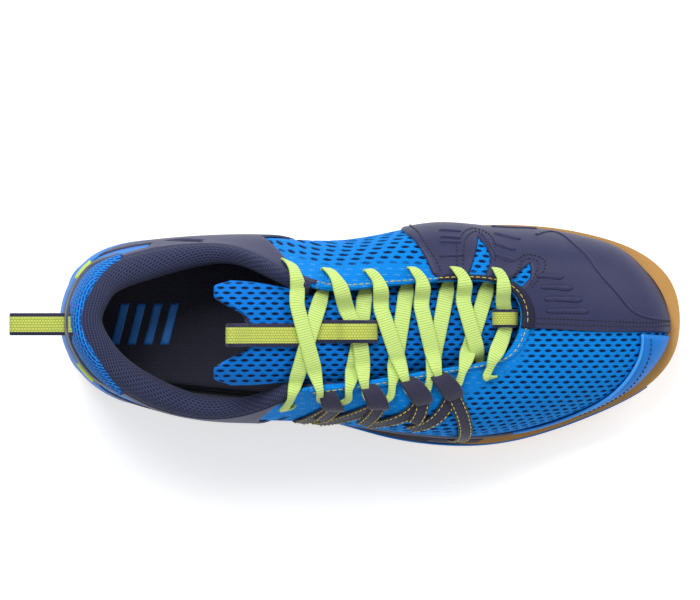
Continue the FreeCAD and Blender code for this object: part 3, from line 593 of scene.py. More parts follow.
def engineered_mesh(name, yarn_colour, cell_colour, slit_colour):
    """Warp-knitted polyester: matt yarn with a soft sheen, dark where the cells open."""
    material, tree, cloth = finish(name)
    cells = lens_cells(tree, cloth, CELL_LONG, CELL_HIGH)
    zone = add(tree, "Attribute", attribute_name="open_knit").outputs["Fac"]
    open_cells = add(tree, "Math", {0: cells, 1: zone}, operation="MULTIPLY").outputs[0]
    slits = lens_cells(tree, cloth, CELL_LONG * 0.8, CELL_HIGH * 0.5)
    closed = add(tree, "Math", {0: 0.4, 1: zone}, operation="SUBTRACT", use_clamp=True).outputs[0]
    slits = add(tree, "Math", {0: slits, 1: closed}, operation="MULTIPLY").outputs[0]
    # The stitches themselves are 0.4 mm; they are drawn at 0.9 mm, so that they show.
    stitch = knit_cells(tree, cloth, 1.5, 0.9, 0.2, 0.9)
    tone = add(tree, "TexNoise", {"Vector": cloth, "Scale": 0.08, "Detail": 3.0}).outputs["Fac"]
    yarn = add(tree, "Mix", {0: tone, 6: yarn_colour[0], 7: yarn_colour[1]}, data_type="RGBA").outputs[2]
    shade = add(tree, "Mix", {0: stitch, 6: srgb("dfe3ea"), 7: srgb("ffffff")}, data_type="RGBA").outputs[2]
    yarn = add(tree, "Mix", {0: 1.0, 6: yarn, 7: shade}, data_type="RGBA", blend_type="MULTIPLY").outputs[2]
    yarn = add(tree, "Mix", {0: slits, 6: yarn, 7: slit_colour}, data_type="RGBA").outputs[2]
    base = add(tree, "Mix", {0: open_cells, 6: yarn, 7: cell_colour}, data_type="RGBA").outputs[2]
    deep = add(tree, "Math", {0: open_cells, 1: -3.0, 2: stitch}, operation="MULTIPLY_ADD").outputs[0]
    close(tree, base, 0.7, deep, 0.16, Sheen_Weight=0.02, Sheen_Roughness=0.4, Specular_IOR_Level=0.12)
    return material


BLUE_MESH = engineered_mesh("blue_warp_knit", (srgb("0082dc"), srgb("008eea")), srgb("04204e"),
                            srgb("5fa6de"))
TONGUE_MESH = engineered_mesh("blue_tongue_knit", (srgb("0073d4"), srgb("047fe0")), srgb("03173a"),
                              srgb("0073d4"))
print("materials so far:", len(bpy.data.materials))

# %% [markdown]
# The other cloths are smaller knits and weaves. The lining is a dark brushed knit with a fine net,
# and the padded band at the heel is a lighter mesh with short dark slits.

# %% Lining, band and footbed cloth


def small_knit(name, colours, width, height, yarn, hollow, rough=0.8, depth=0.2, sheen=0.2):
    """A fine knit: two tones of yarn, and hollow cells between the stitches."""
    material, tree, cloth = finish(name)
    cells = knit_cells(tree, cloth, width, height, yarn, 0.6)
    tone = add(tree, "TexNoise", {"Vector": cloth, "Scale": 0.15, "Detail": 4.0}).outputs["Fac"]
    yarn_tone = add(tree, "Mix", {0: tone, 6: colours[0], 7: colours[1]}, data_type="RGBA").outputs[2]
    base = add(tree, "Mix", {0: cells, 6: yarn_tone, 7: hollow}, data_type="RGBA").outputs[2]
    down = add(tree, "Math", {0: cells, 1: -1.0}, operation="MULTIPLY").outputs[0]
    close(tree, base, rough, down, depth, Sheen_Weight=sheen, Sheen_Roughness=0.5, Specular_IOR_Level=0.25)
    return material


LINING = small_knit("navy_brushed_lining_knit", (srgb("343a5c"), srgb("42486c")), 1.9, 1.3, 0.34,
                    srgb("1e2138"), sheen=0.08)
BAND_MESH = small_knit("bright_blue_band_knit", (srgb("0a86ea"), srgb("1c96f4")), 4.2, 1.6, 0.45,
                       srgb("06408c"), sheen=0.05)
FOOTBED = small_knit("navy_footbed_cloth", (srgb("2b2c3c"), srgb("353648")), 1.4, 1.0, 0.3, srgb("20202d"),
                     0.85)

# %% [markdown]
# The films are polyurethane, pressed on hot over the mesh. The navy one is embossed like fine
# leather and has a satin face. The light blue one is smooth with a soft gloss. Voronoi cells of
# half a millimetre give the embossing, drawn at twice that so that it shows.

# %% Films


def pressed_film(name, dark, light, rough, grain=1.1, depth=0.08, **sockets):
    """Hot-pressed polyurethane film with a fine leather grain."""
    material, tree, cloth = finish(name)
    pebble = add(tree, "TexVoronoi", {"Vector": cloth, "Scale": 1 / grain},
                 feature="SMOOTH_F1").outputs["Distance"]
    cloud = add(tree, "TexNoise", {"Vector": cloth, "Scale": 0.12, "Detail": 5.0}).outputs["Fac"]
    base = add(tree, "Mix", {0: cloud, 6: dark, 7: light}, data_type="RGBA").outputs[2]
    close(tree, base, rough, pebble, depth, **sockets)
    return material


NAVY_FILM = pressed_film("navy_grained_film", srgb("25274a"), srgb("2f3156"), 0.5, Specular_IOR_Level=0.35)
NAVY_SHADE = pressed_film("dark_navy_film", srgb("14152c"), srgb("1d1f3a"), 0.55, Specular_IOR_Level=0.3)
BLUE_FILM = pressed_film("light_blue_gloss_film", srgb("0a70c8"), srgb("147fd8"), 0.48, 2.4, 0.02,
                         Specular_IOR_Level=0.25)
# Painted highlight: a paler blue for the toe guard's top lip, standing in for the light that the raised
# edge catches.
PAINTED_HIGHLIGHT_FILM = pressed_film("blue_film_edge_painted_highlight", srgb("2f93e8"), srgb("45a2f0"), 0.42, 2.4, 0.02,
                          Specular_IOR_Level=0.3)
GREY_FILM = pressed_film("grey_moulded_tpu", srgb("3c4152"), srgb("4a5063"), 0.42, 1.6, 0.05)
LIME_FILM = pressed_film("lime_tpu_insert", srgb("b9d640"), srgb("c8e44e"), 0.35, 1.6, 0.04)
print("films:", [m.name for m in (NAVY_FILM, BLUE_FILM, GREY_FILM, LIME_FILM)])

# %% [markdown]
# Webbing and lace are woven flat. The webbing is lime with a navy cord along each edge, which the
# cloth coordinate across the band picks out. The lace is a flat tubular braid with ribs across it.

# %% Webbing and lace


def woven(name, colours, edge_colour, edge_at, rib, rib_across=1.2, rough=0.65):
    """A woven band: picks across and ends along, with another colour beyond edge_at of 5."""
    material, tree, cloth = finish(name)
    cells = knit_cells(tree, cloth, rib, rib_across, rib * 0.16, 0.9)
    tone = add(tree, "TexNoise", {"Vector": cloth, "Scale": 0.5, "Detail": 3.0}).outputs["Fac"]
    yarn = add(tree, "Mix", {0: tone, 6: colours[0], 7: colours[1]}, data_type="RGBA").outputs[2]
    shaded = add(tree, "Mix", {0: cells, 6: colours[2], 7: yarn}, data_type="RGBA").outputs[2]
    place = add(tree, "SeparateXYZ", {0: cloth}).outputs["Y"]
    place = add(tree, "Math", {0: place, 1: 5.0}, operation="SUBTRACT").outputs[0]
    away = add(tree, "Math", {0: place}, operation="ABSOLUTE").outputs[0]
    cord = add(tree, "Math", {0: away, 1: edge_at}, operation="GREATER_THAN").outputs[0]
    base = add(tree, "Mix", {0: cord, 6: shaded, 7: edge_colour}, data_type="RGBA").outputs[2]
    close(tree, base, rough, cells, 0.18, Sheen_Weight=0.2, Specular_IOR_Level=0.35)
    return material


LIME_WEBBING = woven("lime_webbing_navy_cord", (srgb("c0cc52"), srgb("cdd865"), srgb("98a440")),
                     srgb("17173c"), 3.45, 1.3)
NAVY_WEBBING = woven("navy_strap_webbing", (srgb("232140"), srgb("2e2b4c"), srgb("141328")), srgb("1b1935"),
                     4.2, 1.3)
LACE = woven("lime_flat_braid", (srgb("c3df78"), srgb("cfe988"), srgb("a3c156")), srgb("b8d66a"), 4.5, 1.15,
             12.0)
THREAD = woven("yellow_sewing_thread", (srgb("d9c84a"), srgb("e4d560"), srgb("a3952c")), srgb("d9c84a"),
               99.0, 0.8)
DARK_THREAD = woven("dark_sewing_thread", (srgb("15152c"), srgb("1d1d38"), srgb("0c0c1c")), srgb("15152c"),
                    99.0, 0.8)

# %% [markdown]
# The sole is moulded. Gum rubber is a warm translucent amber, a little glossy from its mould, and
# dusty in use. The midsole is dark EVA foam with a fine skin.

# %% Rubber and foam


def moulded(name, dark, light, rough, grain, depth, **sockets):
    """A moulded part: generated in object space, since solids carry no cloth coordinates."""
    material, tree, _ = finish(name)
    place = add(tree, "TexCoord").outputs["Object"]
    cloud = add(tree, "TexNoise", {"Vector": place, "Scale": 45.0, "Detail": 6.0}).outputs["Fac"]
    skin_grain = add(tree, "TexNoise", {"Vector": place, "Scale": 1000 / grain,
                                        "Detail": 2.0}).outputs["Fac"]
    base = add(tree, "Mix", {0: cloud, 6: dark, 7: light}, data_type="RGBA").outputs[2]
    close(tree, base, rough, skin_grain, depth, **sockets)
    return material


GUM = moulded("gum_rubber_moulded", srgb("b5803a"), srgb("cb9a54"), 0.45, 1.2, 0.05)
FOAM = moulded("dark_eva_foam_moulded", srgb("3f3c4a"), srgb("4b4856"), 0.6, 0.9, 0.06)
BOARD = moulded("grey_felt_board", srgb("6d6c6a"), srgb("858381"), 0.9, 0.6, 0.1)
for node_name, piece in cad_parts.items():
    piece.data.materials.clear()
    piece.data.materials.append({"outsole": GUM, "midsole": FOAM}.get(node_name, BOARD))
print("solids kept:", ["outsole", "midsole", "midfoot_shank", "lasting_board"])

# %% [markdown]
# ## The knitted upper
#
# The upper is one knitted tube, so it is one mesh. Its cells are pressed half a millimetre into
# the geometry as well as drawn, because a real cell catches a shadow. Near the throat the knit
# closes up, and one attribute carries that to both the shape and the material.

# %% Upper


def cells_at(cloth):
    """The same staggered cells as the material draws, near enough, as a depth from 0 to 1."""
    row = cloth[..., 1] / ROW
    column = cloth[..., 0] / CELL + 0.5 * np.floor(row) + 0.1
    x = np.abs(column - np.floor(column) - 0.5) * CELL / CELL_LONG
    y = np.abs(row - np.floor(row) - 0.5) * ROW / CELL_HIGH
    return ease(1.3, 0.5, x ** 1.7 + y ** 1.7)


CLOSED_ABOVE = [(0, 0.9), (5.0, 0.72), (6.0, 0.75), (8.0, 0.83), (9.5, 0.9), (13.2, 0.97), (14.6, 0.93),
                (16.6, 0.78), (18.5, 0.68), (19.7, 0.62), (21, 0.6), (23, 0.75), (26, 0.9)]


def open_knit_at(u, v):
    above = np.interp(u % COUNT, *np.array(CLOSED_ABOVE).T)
    return ease(above + 0.03, above - 0.05, v) * ease(0.0, 0.03, v)


rows_u = np.arange(0, COUNT, COUNT / 500)
rows_v = np.linspace(0, 1, 100)
uu, vv = np.meshgrid(rows_u, rows_v, indexing="ij")
cloth = cloth_place(uu, vv)
openness = open_knit_at(uu, vv)
dimple = 0.5 * cells_at(cloth) * openness
upper = shell("knitted_upper", layer(uu, vv, -dimple), layer(uu, vv, np.full(uu.shape, -1.6)), cloth,
              [BLUE_MESH, LINING], ring=True, two_sided=True, open_knit=openness, slot="blue_mesh",
              replaces=("heel_mesh", "medial_quarter_mesh", "vamp_mesh", "lateral_quarter_mesh"))
print("points in the upper:", len(upper.data.vertices))

# %% [markdown]
# The lining shows inside the throat and the collar. The vamp's lining is a plain layer. The
# collar's lining is pulled over foam, so its crown is round and thick at the heel and the sides,
# and thins out towards the top eyelets.

# %% Vamp lining and padded collar
uu, vv = np.meshgrid(np.arange(5.65, 20.36, 0.15), np.linspace(0.04, 0.97, 24), indexing="ij")
shell("vamp_lining_cloth", layer(uu, vv, np.full(uu.shape, -3.0)), layer(uu, vv, np.full(uu.shape, -4.0)),
      cloth_place(uu, vv), [LINING], slot="lining_knit", replaces=("vamp_lining", "toe_stiffener"))
COLLAR_POINTS = 56              # points over the crown, from the inside wall to the outer edge
collar_rows, collar_cloth = ([], []), []
for u in np.arange(-5.9, 6.51, 0.1):
    k = 1 - 0.8 * float(ease(2.6, 5.2, abs(u)))
    tall = 0.05 + 0.85 * np.arange(12) / 11
    wall = -(3.7 + 7.4 * k * ease(0.36, 0.76, tall))
    near = [(v, w + 0.5 - 0.9 * float(ease(0.25, 0.44, v)), 0) for v, w in zip(tall, wall)]
    near += [(1, -4.2 - 5.9 * k, 1.1 * k), (1, -3.6 - 2.9 * k, 0.5 + 3.1 * k), (1, -2.0, 0.9 + 1.4 * k),
             (1, 0.3, 0.2)]
    far = [(v, w - 1.0, 0) for v, w, _ in near[:-4]]
    far += [(1, -5 - 5.9 * k, 0.8 + 1.4 * k), (1, -3.6 - 2.9 * k, 1.5 + 3.2 * k), (1, -1.2, 2.2 + 1.4 * k),
            (1, 1.2, 0.5)]
    for rows, side in zip(collar_rows, (near, far)):
        side = np.array(side)
        line = layer(np.full(len(side), u), side[:, 0], side[:, 1], side[:, 2])
        knots = np.append(0, np.cumsum(np.linalg.norm(np.diff(line, axis=0), axis=1)))
        rows.append(smooth_through(knots, line, np.linspace(0, knots[-1], COLLAR_POINTS)))
    girth = np.linspace(0, knots[-1], COLLAR_POINTS)
    collar_cloth.append(np.c_[np.full(COLLAR_POINTS, u * FLAT_U), girth])
collar = shell("padded_collar", np.array(collar_rows[0]), np.array(collar_rows[1]), np.array(collar_cloth),
               [LINING],
               slot="lining_knit", replaces=("collar_lining", "collar_foam", "heel_stiffener"))
print("collar rows:", len(collar_cloth))

# %% [markdown]
# ## Films over the knit
#
# The toe carries the largest film, because court play drags the inside of the toe. It is cut with
# two slits, and the die leaves raised bars and an embossed curve that let it bend.

# %% Film strips


def film_strip(name, u0, u1, v0, v1, lift, thick, material, round_edge=4, pitch=0.12, columns=12, **more):
    """A film between two edges that may be functions of u, thicker in its middle."""
    rows = np.linspace(u0, u1, max(4, int(abs(u1 - u0) / pitch)))
    part = np.linspace(0, 1, columns)
    low = np.array([v0(u) if callable(v0) else v0 for u in rows], float)
    high = np.array([v1(u) if callable(v1) else v1 for u in rows], float)
    u = np.repeat(rows[:, None], columns, 1)
    v = low[:, None] + (high - low)[:, None] * part
    crown = 1 - np.abs(2 * part - 1) ** round_edge
    outer = layer(u, v, lift + thick * (0.25 + 0.75 * crown)[None] * np.ones(u.shape))
    return shell(name, outer, layer(u, v, np.full(u.shape, lift)), cloth_place(u, v), [material], **more)


def along_edge(knots):
    """A function of u through (u, v) knots."""
    table = np.array(knots, float)
    return lambda u: float(np.interp(u, table[:, 0], table[:, 1]))


# %% Toe overlay with its slits
SLIT_1 = [(8.95, 0.49), (9.33, 0.72), (9.80, 0.985), (10.24, 0.985), (9.68, 0.70)]
SLIT_2 = [(10.68, 0.71), (10.92, 0.93), (10.96, 0.985), (11.62, 0.985), (11.28, 0.84)]
TOE_OUTLINE = [(7.2, 0.05), (7.25, 0.22), (7.43, 0.40), (7.68, 0.53), (8.00, 0.65), (8.28, 0.74),
               (8.55, 0.82),
               (8.88, 0.92), (9.2, 0.985)]
TOE_OUTLINE += [SLIT_1[2], SLIT_1[1], SLIT_1[0], SLIT_1[4], SLIT_1[3], (10.6, 0.985)]
TOE_OUTLINE += [SLIT_2[2], SLIT_2[1], SLIT_2[0], SLIT_2[4], SLIT_2[3]]
TOE_OUTLINE += [(12.4, 0.985), (13.1, 0.985), (13.42, 0.985), (13.38, 0.71), (13.3, 0.4), (13.28, 0.24),
                (13.28, 0.05)]
for u in np.arange(12.8, 7.4, -0.5):
    TOE_OUTLINE.append((u, 0.05))
patch("toe_film", TOE_OUTLINE, 0.35, 0.85, NAVY_FILM, edge=0.8, slot="navy_film", replaces=("toe_overlay",))


def bar_outline(a, b, half):
    """A rounded bar between two (u, v) places, in flat mm."""
    a, b = np.array(a) * (FLAT_U, FLAT_V), np.array(b) * (FLAT_U, FLAT_V)
    ahead = (b - a) / np.linalg.norm(b - a)
    side = np.array([-ahead[1], ahead[0]])
    arc = np.linspace(-math.pi / 2, math.pi / 2, 6)
    points = [b + half * (ahead * math.cos(t) + side * math.sin(t)) for t in arc]
    points += [a - half * (ahead * math.cos(t) + side * math.sin(t)) for t in arc]
    return [tuple(p / (FLAT_U, FLAT_V)) for p in points]


BARS = [((11.38, 0.785), (11.75, 0.715)), ((11.87, 0.82), (12.16, 0.72)), ((12.32, 0.84), (12.51, 0.71)),
        ((12.74, 0.85), (12.82, 0.70)), ((8.25, 0.50), (8.55, 0.48)), ((8.38, 0.58), (8.67, 0.56)),
        ((8.46, 0.63), (8.75, 0.61)), ((8.71, 0.76), (9.05, 0.73)), ((9.0, 0.26), (9.85, 0.20)),
        ((9.23, 0.42), (9.82, 0.46)), ((9.5, 0.555), (9.98, 0.60)), ((9.75, 0.68), (10.25, 0.715))]
for number, (a, b) in enumerate(BARS, start=1):
    half = 1.7 if number <= 4 else 1.0
    patch(f"raised_bar_{number}", bar_outline(a, b, half), 1.15, 0.75, NAVY_FILM, edge=0.6, spacing=1.2,
          slot="navy_film")
print("raised bars:", len(BARS))

# %% Embossed curves


def skin_cord(name, places, out, width, thick, material, slot):
    """A raised cord along (u, v) places."""
    line, normal = path_on_skin(places, out, 2.0)
    across = np.cross(normal, np.gradient(line, axis=0))
    return band(name, line, across, width, thick, material, step=1.0, sides=8, square=0.8, slot=slot)


skin_cord("embossed_curve", [(10.05, 0.36), (10.23, 0.23), (10.7, 0.33), (11.48, 0.46), (12.12, 0.51),
                             (12.5, 0.49),
                             (12.88, 0.44), (13.02, 0.32), (13.03, 0.12)], 1.3, 1.5, 0.8, NAVY_FILM,
                             "navy_film")
skin_cord("embossed_loop", [(9.28, 0.54), (9.68, 0.66), (10.3, 0.72), (10.28, 0.62)], 1.3, 1.1, 0.7,
          NAVY_FILM, "navy_film")

# %% Toe guard
guard_top = along_edge([(13.3, 0.39), (13.9, 0.33), (14.73, 0.27), (15.58, 0.19), (16.4, 0.13),
                        (17.25, 0.075)])
film_strip("toe_guard_film", 13.34, 17.25, 0.045, guard_top, 0.5, 1.3, BLUE_FILM, 3, columns=16,
           slot="blue_film", replaces=("toe_guard",))
# The lip along the guard's top edge is real, but its paler blue is a painted highlight.
skin_cord("toe_guard_lip", [(u, guard_top(u) + 0.004) for u in np.arange(13.35, 17.1, 0.25)], 1.3, 1.5, 1.5,
          PAINTED_HIGHLIGHT_FILM,
          "blue_film")

# %% [markdown]
# The throat's edge is bound: navy film round the toe end, and the knit's own blue beyond it. A
# yellow lockstitch runs right round. Yellow on blue is what the eye finds first here.

# %% Throat binding
film_strip("throat_binding_front", 9.15, 13.45, 0.93, 0.999, 0.9, 0.9, NAVY_SHADE, columns=8,
           slot="navy_film",
           replaces=("throat_trim",))
film_strip("throat_binding_lateral", 13.45, 19.6, 0.945, 0.999, 0.25, 0.9, BLUE_MESH, columns=8,
           slot="blue_mesh")
film_strip("throat_binding_medial", 6.3, 9.15, 0.95, 0.999, 0.25, 0.9, BLUE_MESH, columns=8,
           slot="blue_mesh")
throat_seam = [(u, 0.972) for u in np.arange(6.4, 19.6, 0.3)]
stitches("yellow_throat_seam", [path_on_skin(throat_seam[:10], 1.25), path_on_skin(throat_seam[9:24], 1.9),
                                path_on_skin(throat_seam[23:], 1.25)], THREAD, pitch=3.0, length=2.2,
                                slot="lime_lace")
FILM_SEAMS = [
    [(9.32, 0.83), (8.90, 0.63), (8.78, 0.51), (8.82, 0.44), (9.15, 0.52), (9.47, 0.64), (9.83, 0.78)],
    [(9.20, 0.84), (8.78, 0.64), (8.66, 0.51), (8.72, 0.40), (9.2, 0.47), (9.57, 0.62), (9.93, 0.76)],
    [(11.02, 0.93), (10.83, 0.84), (10.52, 0.68), (10.8, 0.68), (11.14, 0.77), (11.6, 0.9)],
    [(10.88, 0.93), (10.7, 0.82), (10.38, 0.64), (10.8, 0.64), (11.22, 0.73), (11.73, 0.9)],
    [(12.98, 0.95), (13.05, 0.72), (13.1, 0.40), (13.07, 0.10)],
    [(13.2, 0.95), (13.2, 0.72), (13.18, 0.40), (13.14, 0.10)],
    [(7.40, 0.08), (7.58, 0.38), (7.85, 0.52), (8.15, 0.65), (8.7, 0.81), (9.0, 0.90)],
]
stitches("dark_film_seams", [path_on_skin(line, 1.28) for line in FILM_SEAMS], DARK_THREAD, pitch=1.9,
         length=1.25,
         radius=0.3, slot="navy_film")
stitches("toe_guard_seam", [path_on_skin([(13.4, 0.33), (13.75, 0.28), (14.4, 0.21), (15.03, 0.16),
                                          (15.9, 0.1)], 1.85)],
         DARK_THREAD, pitch=2.4, length=1.6, radius=0.28, slot="navy_film")

# %% [markdown]
# The heel is built in layers: a moulded counter film with windows, a gloss film round the back, a
# grey band, lime inserts, and a padded band of lighter mesh where the collar dips.

# %% Heel counter
COUNTER = [(u, 0.035) for u in np.arange(-4.9, 5.01, 0.55)]
COUNTER += [(5.15, 0.2), (4.95, 0.40), (4.92, 0.55), (5.45, 0.73), (5.8, 0.84), (6.08, 0.91), (6.5, 0.985),
            (5.4, 0.985),
            (4.3, 0.985), (3.73, 0.94), (3.08, 0.90), (2.5, 0.92), (2.1, 0.86), (1.75, 0.70), (1.3, 0.60),
            (0.7, 0.62),
            (0.0, 0.64), (-0.7, 0.62), (-1.3, 0.60), (-1.75, 0.70), (-2.1, 0.86), (-2.5, 0.92),
            (-3.1, 0.90),
            (-3.8, 0.95), (-4.6, 0.985), (-5.6, 0.985), (-5.3, 0.86), (-4.95, 0.70), (-4.75, 0.50),
            (-4.8, 0.25)]
WINDOW_BLUE = [(1.45, 0.46), (2.05, 0.55), (2.85, 0.62), (2.85, 0.76), (2.35, 0.79), (1.9, 0.62)]
WINDOW_DARK = [(3.12, 0.60), (3.42, 0.62), (3.9, 0.76), (4.0, 0.88), (3.65, 0.80)]
lateral_window = [(-u, v - 0.03) for u, v in WINDOW_BLUE][::-1]
WINDOWS = [WINDOW_BLUE, WINDOW_DARK, lateral_window]
patch("heel_counter_film", COUNTER, 0.4, 1.2, NAVY_FILM, cuts=WINDOWS, edge=0.9,
      slot="navy_film", replaces=("heel_counter",))
film_strip("collar_binding", -5.95, 6.62, 0.958, 1.0, 1.0, 0.9, NAVY_FILM, 3, columns=8, slot="navy_film")
patch("window_film_medial", WINDOW_BLUE, 0.2, 0.9, BLUE_FILM, edge=0.5, slot="blue_film")
patch("window_film_lateral", lateral_window, 0.2, 0.9, BLUE_FILM, edge=0.5, slot="blue_film")
patch("window_film_dark", WINDOW_DARK, 0.2, 0.5, NAVY_SHADE, edge=0.5, slot="navy_film")

# %% Heel band, wrap and inserts


def band_low(u):
    return 0.76 - 0.05 * float(ease(0.1, 1.2, abs(u))) + 0.14 * float(ease(1.4, 2.4, abs(u)))


BAND_POINTS = 22                # points over the padding, from its lower seam to its lining seam
band_rows = ([], [])
band_cloth = []
for u in np.linspace(-2.4, 2.4, 130):
    full = 1 - (abs(u) / 2.42) ** 4
    low = band_low(u)
    # The padding is stitched thin behind the loop, so that the loop can hang down.
    thin = float(ease(0.52, 0.3, abs(u + 0.055)))
    for rows, (swell, over) in zip(band_rows, ((1.0, 1.0), (0.25, 0.72))):
        outs = np.array([1.5, 1.5 + 1.5 * swell, 1.4 + 1.7 * swell, 1.0 - 0.5 * full, -0.6 - 1.3 * full,
                         -1.2 - 2.2 * full])
        outs[1:3] -= thin * (0.85 + 0.5 * swell) * np.array([1.0, 0.5])
        ups = np.array([0, 0, 0.3, 0.6 + 2.7 * full * over, 0.8 + 4.5 * full * over,
                        0.9 + 3.3 * full * over])
        heights = np.array([low, low + (1 - low) * 0.35, low + (1 - low) * 0.8, 1.0, 1.0, 1.0])
        line = layer(np.full(6, u), heights, outs, ups)
        knots = np.append(0, np.cumsum(np.linalg.norm(np.diff(line, axis=0), axis=1)))
        rows.append(smooth_through(knots, line, np.linspace(0, knots[-1], BAND_POINTS)))
    band_cloth.append(np.c_[np.full(BAND_POINTS, u * FLAT_U), np.linspace(0, knots[-1], BAND_POINTS)])
padded_band = shell("padded_heel_band", np.array(band_rows[0]), np.array(band_rows[1]),
                    np.array(band_cloth), [BAND_MESH],
                    slot="blue_band_mesh")
film_strip("heel_grey_band", -2.3, 2.3, lambda u: band_low(u) - 0.09, lambda u: band_low(u) - 0.012, 1.5,
           1.2, GREY_FILM,
           3, 0.06, 8, slot="grey_film")
film_strip("heel_wrap_gloss", -3.0, 3.0, 0.07, lambda u: 0.56 - 0.3 * float(ease(1.4, 3, abs(u))), 1.35,
           0.6, BLUE_FILM, 4,
           0.08, 14, slot="blue_film", replaces=("heel_wrap_film",))
film_strip("lime_insert_medial", 1.05, 1.6, 0.565, 0.625, 1.9, 1.3, LIME_FILM, 3, 0.06, 8,
           slot="lime_insert",
           replaces=("heel_accent_inserts",))
film_strip("lime_insert_lateral", -1.6, -1.05, 0.565, 0.625, 1.9, 1.3, LIME_FILM, 3, 0.06, 8,
           slot="lime_insert")
print("windows in the counter:", len(WINDOWS))

# %% [markdown]
# ## The tongue
#
# The tongue is two cloths with foam between, sewn round the edge, so it is thick in the middle and
# thins to its seam. Its free end is cut in a hollow curve. It crosses the flex joint, and here it
# rides on no body of the frame.

# %% Tongue surface
TONGUE = np.array([(80, 2, 52, 13), (71, 1.5, 55.5, 17), (60, 0.5, 60.3, 22), (48, -0.2, 64, 25),
                   (27, -2.2, 70, 26),
                   (2, -5.5, 76.5, 26), (-19, -8.6, 81.5, 22.4), (-37, -6.5, 87.5, 22), (-55, -5.5, 96, 24),
                   (-73, -5, 105, 24.5)], float)
TONGUE_SLOPE = np.vstack([TONGUE[1] - TONGUE[0], TONGUE[2:] - TONGUE[:-2], TONGUE[-1] - TONGUE[-2]])
TONGUE_SLOPE = TONGUE_SLOPE[:, 1:] / TONGUE_SLOPE[:, :1]


def tongue_at(x):
    """Middle, crest height and half width of the tongue at x."""
    x = np.asarray(x, float)
    k = np.clip(np.searchsorted(-TONGUE[:, 0], -x) - 1, 0, len(TONGUE) - 2)
    a, b = TONGUE[k], TONGUE[k + 1]
    span = (b[..., 0] - a[..., 0])[..., None]
    t = ((x - a[..., 0]) / span[..., 0])[..., None]
    rows = a[..., 1:] * (2 * t ** 3 - 3 * t * t + 1) + TONGUE_SLOPE[k] * span * (t ** 3 - 2 * t * t + t)
    rows = rows + b[..., 1:] * (3 * t * t - 2 * t ** 3) + TONGUE_SLOPE[k + 1] * span * (t ** 3 - t * t)
    return rows[..., 0], rows[..., 1], rows[..., 2]


def tongue_z(x, y):
    middle, crest, _ = tongue_at(x)
    return crest - (y - middle) ** 2 / 84


# %% Padded tongue
side = np.sin(np.linspace(-math.pi / 2, math.pi / 2, 70))
x_end = -58.5 - 14.0 * ease(0.26, 0.70, np.abs(side)) + 7.0 * ease(0.84, 1.0, np.abs(side)) ** 2
part = np.linspace(0, 1, 260)[:, None]
x = 78 + (x_end[None] - 78) * part
middle, _, half = tongue_at(x)
y = middle + half * 0.995 * side[None]
end_gap = (x - x_end[None])
tuck = np.clip(1 - (1 - np.clip(end_gap / 5.0, 0, 1)) ** 2, 0, 1) ** 0.5
roll = np.sqrt(np.clip(1 - np.abs(side[None]) ** 4, 0, 1)) * tuck
cloth = np.stack([x, y * 1.05], -1)
fade = ease(0.0, 0.5, roll)
dent = 0.42 * cells_at(cloth) * fade
surface = tongue_z(x, y)
puff = 1.6 * ease(-30, -58, x) * np.sqrt(np.clip(1 - (np.abs(side[None]) - 0.1) ** 2, 0, 1))
top_side = np.stack([x, y, surface - 3.5 + (3.7 + puff) * roll - dent], -1)
bottom_side = np.stack([x, y, surface - 3.5 - 3.3 * roll], -1)
tongue = shell("padded_tongue", top_side, bottom_side, cloth, [TONGUE_MESH, LINING], two_sided=True,
               open_knit=fade,
               body=None, slot="blue_mesh",
               replaces=tuple(f"tongue_{layer_name}_{end}"
                              for layer_name in ("face", "foam", "lining")
                              for end in ("base", "top")))
for polygon in tongue.data.polygons:
    across_at = (polygon.center.y / MM - float(tongue_at(polygon.center.x / MM)[0])) / 22
    if polygon.center.x / MM < float(np.interp(across_at, side, x_end)) + 2.6 and abs(across_at) < 0.72:
        polygon.material_index = 1
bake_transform(tongue)
print("tongue length in mm:", round(float(np.ptp(x))))

# %% [markdown]
# Webbing is sewn on the tongue: a pull loop at its free end, a keeper that holds the lace in the
# middle, and a small keeper at the toe. The pull loop's strap crosses the flex joint, and like the
# tongue it rides on no body of the frame.

# %% Webbing on the tongue


def over_tongue(x, y, height):
    return (x, y, float(tongue_z(np.array(x), y)) + height)


def tongue_webbing(name, places, y, width, thick, **more):
    path = [over_tongue(x, y, h) for x, h in places]
    return band(name, path, [(0, 1, 0)] * len(path), width, thick, LIME_WEBBING, step=0.9,
                slot="lime_webbing", **more)


loop = [over_tongue(x, -6.3, 1.0) for x in (-36, -38, -43, -48, -53, -58)]
far = np.array(loop[-1])
for ahead, above in [(3, 0.2), (6, 0.5), (8, 0.8), (9.35, 1.05), (10.05, 1.75), (10.3, 2.7), (10.05, 3.65),
                     (9.35, 4.35),
                     (8.4, 4.6), (6.6, 4.3), (4, 3.5), (1, 2.5)]:
    loop.append(tuple(far + np.array((-0.894, 0, 0.447)) * ahead + np.array((0.447, 0, 0.894)) * above))
loop += [over_tongue(x, -6.3, 2.75) for x in (-53, -49, -44, -39.5, -35, -30.5)]
pull_strap = band("tongue_loop_webbing", loop, [(0, 1, 0)] * len(loop), 10.7, 1.1, LIME_WEBBING, step=0.9,
                  body=None,
                  slot="lime_webbing", replaces=("tongue_pull_loop",))
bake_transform(pull_strap)
tongue_webbing("middle_lace_keeper", [(-33.5, 1.5), (-28, 1.5), (-19, 1.3), (-16, 2.2), (-13.2, 5.0),
                                      (-7.5, 6.9),
                                      (-2, 6.0), (1, 3.4), (2.6, 1.5)], -4.6, 10.7, 1.1,
                                      replaces=("tongue_lace_keeper",))
tongue_webbing("toe_lace_keeper", [(57.6, 1.2), (58.4, 2.7), (60.2, 4.6), (63.6, 5.4), (67, 4.6),
                                   (68.8, 2.7), (69.6, 1.2)],
               1.6, 8.6, 1.0, replaces=("front_lace_keeper",))

# %% [markdown]
# The heel loop is a closed band of the same webbing. It swings on its own joint, and a sewn tab
# holds it to the collar.

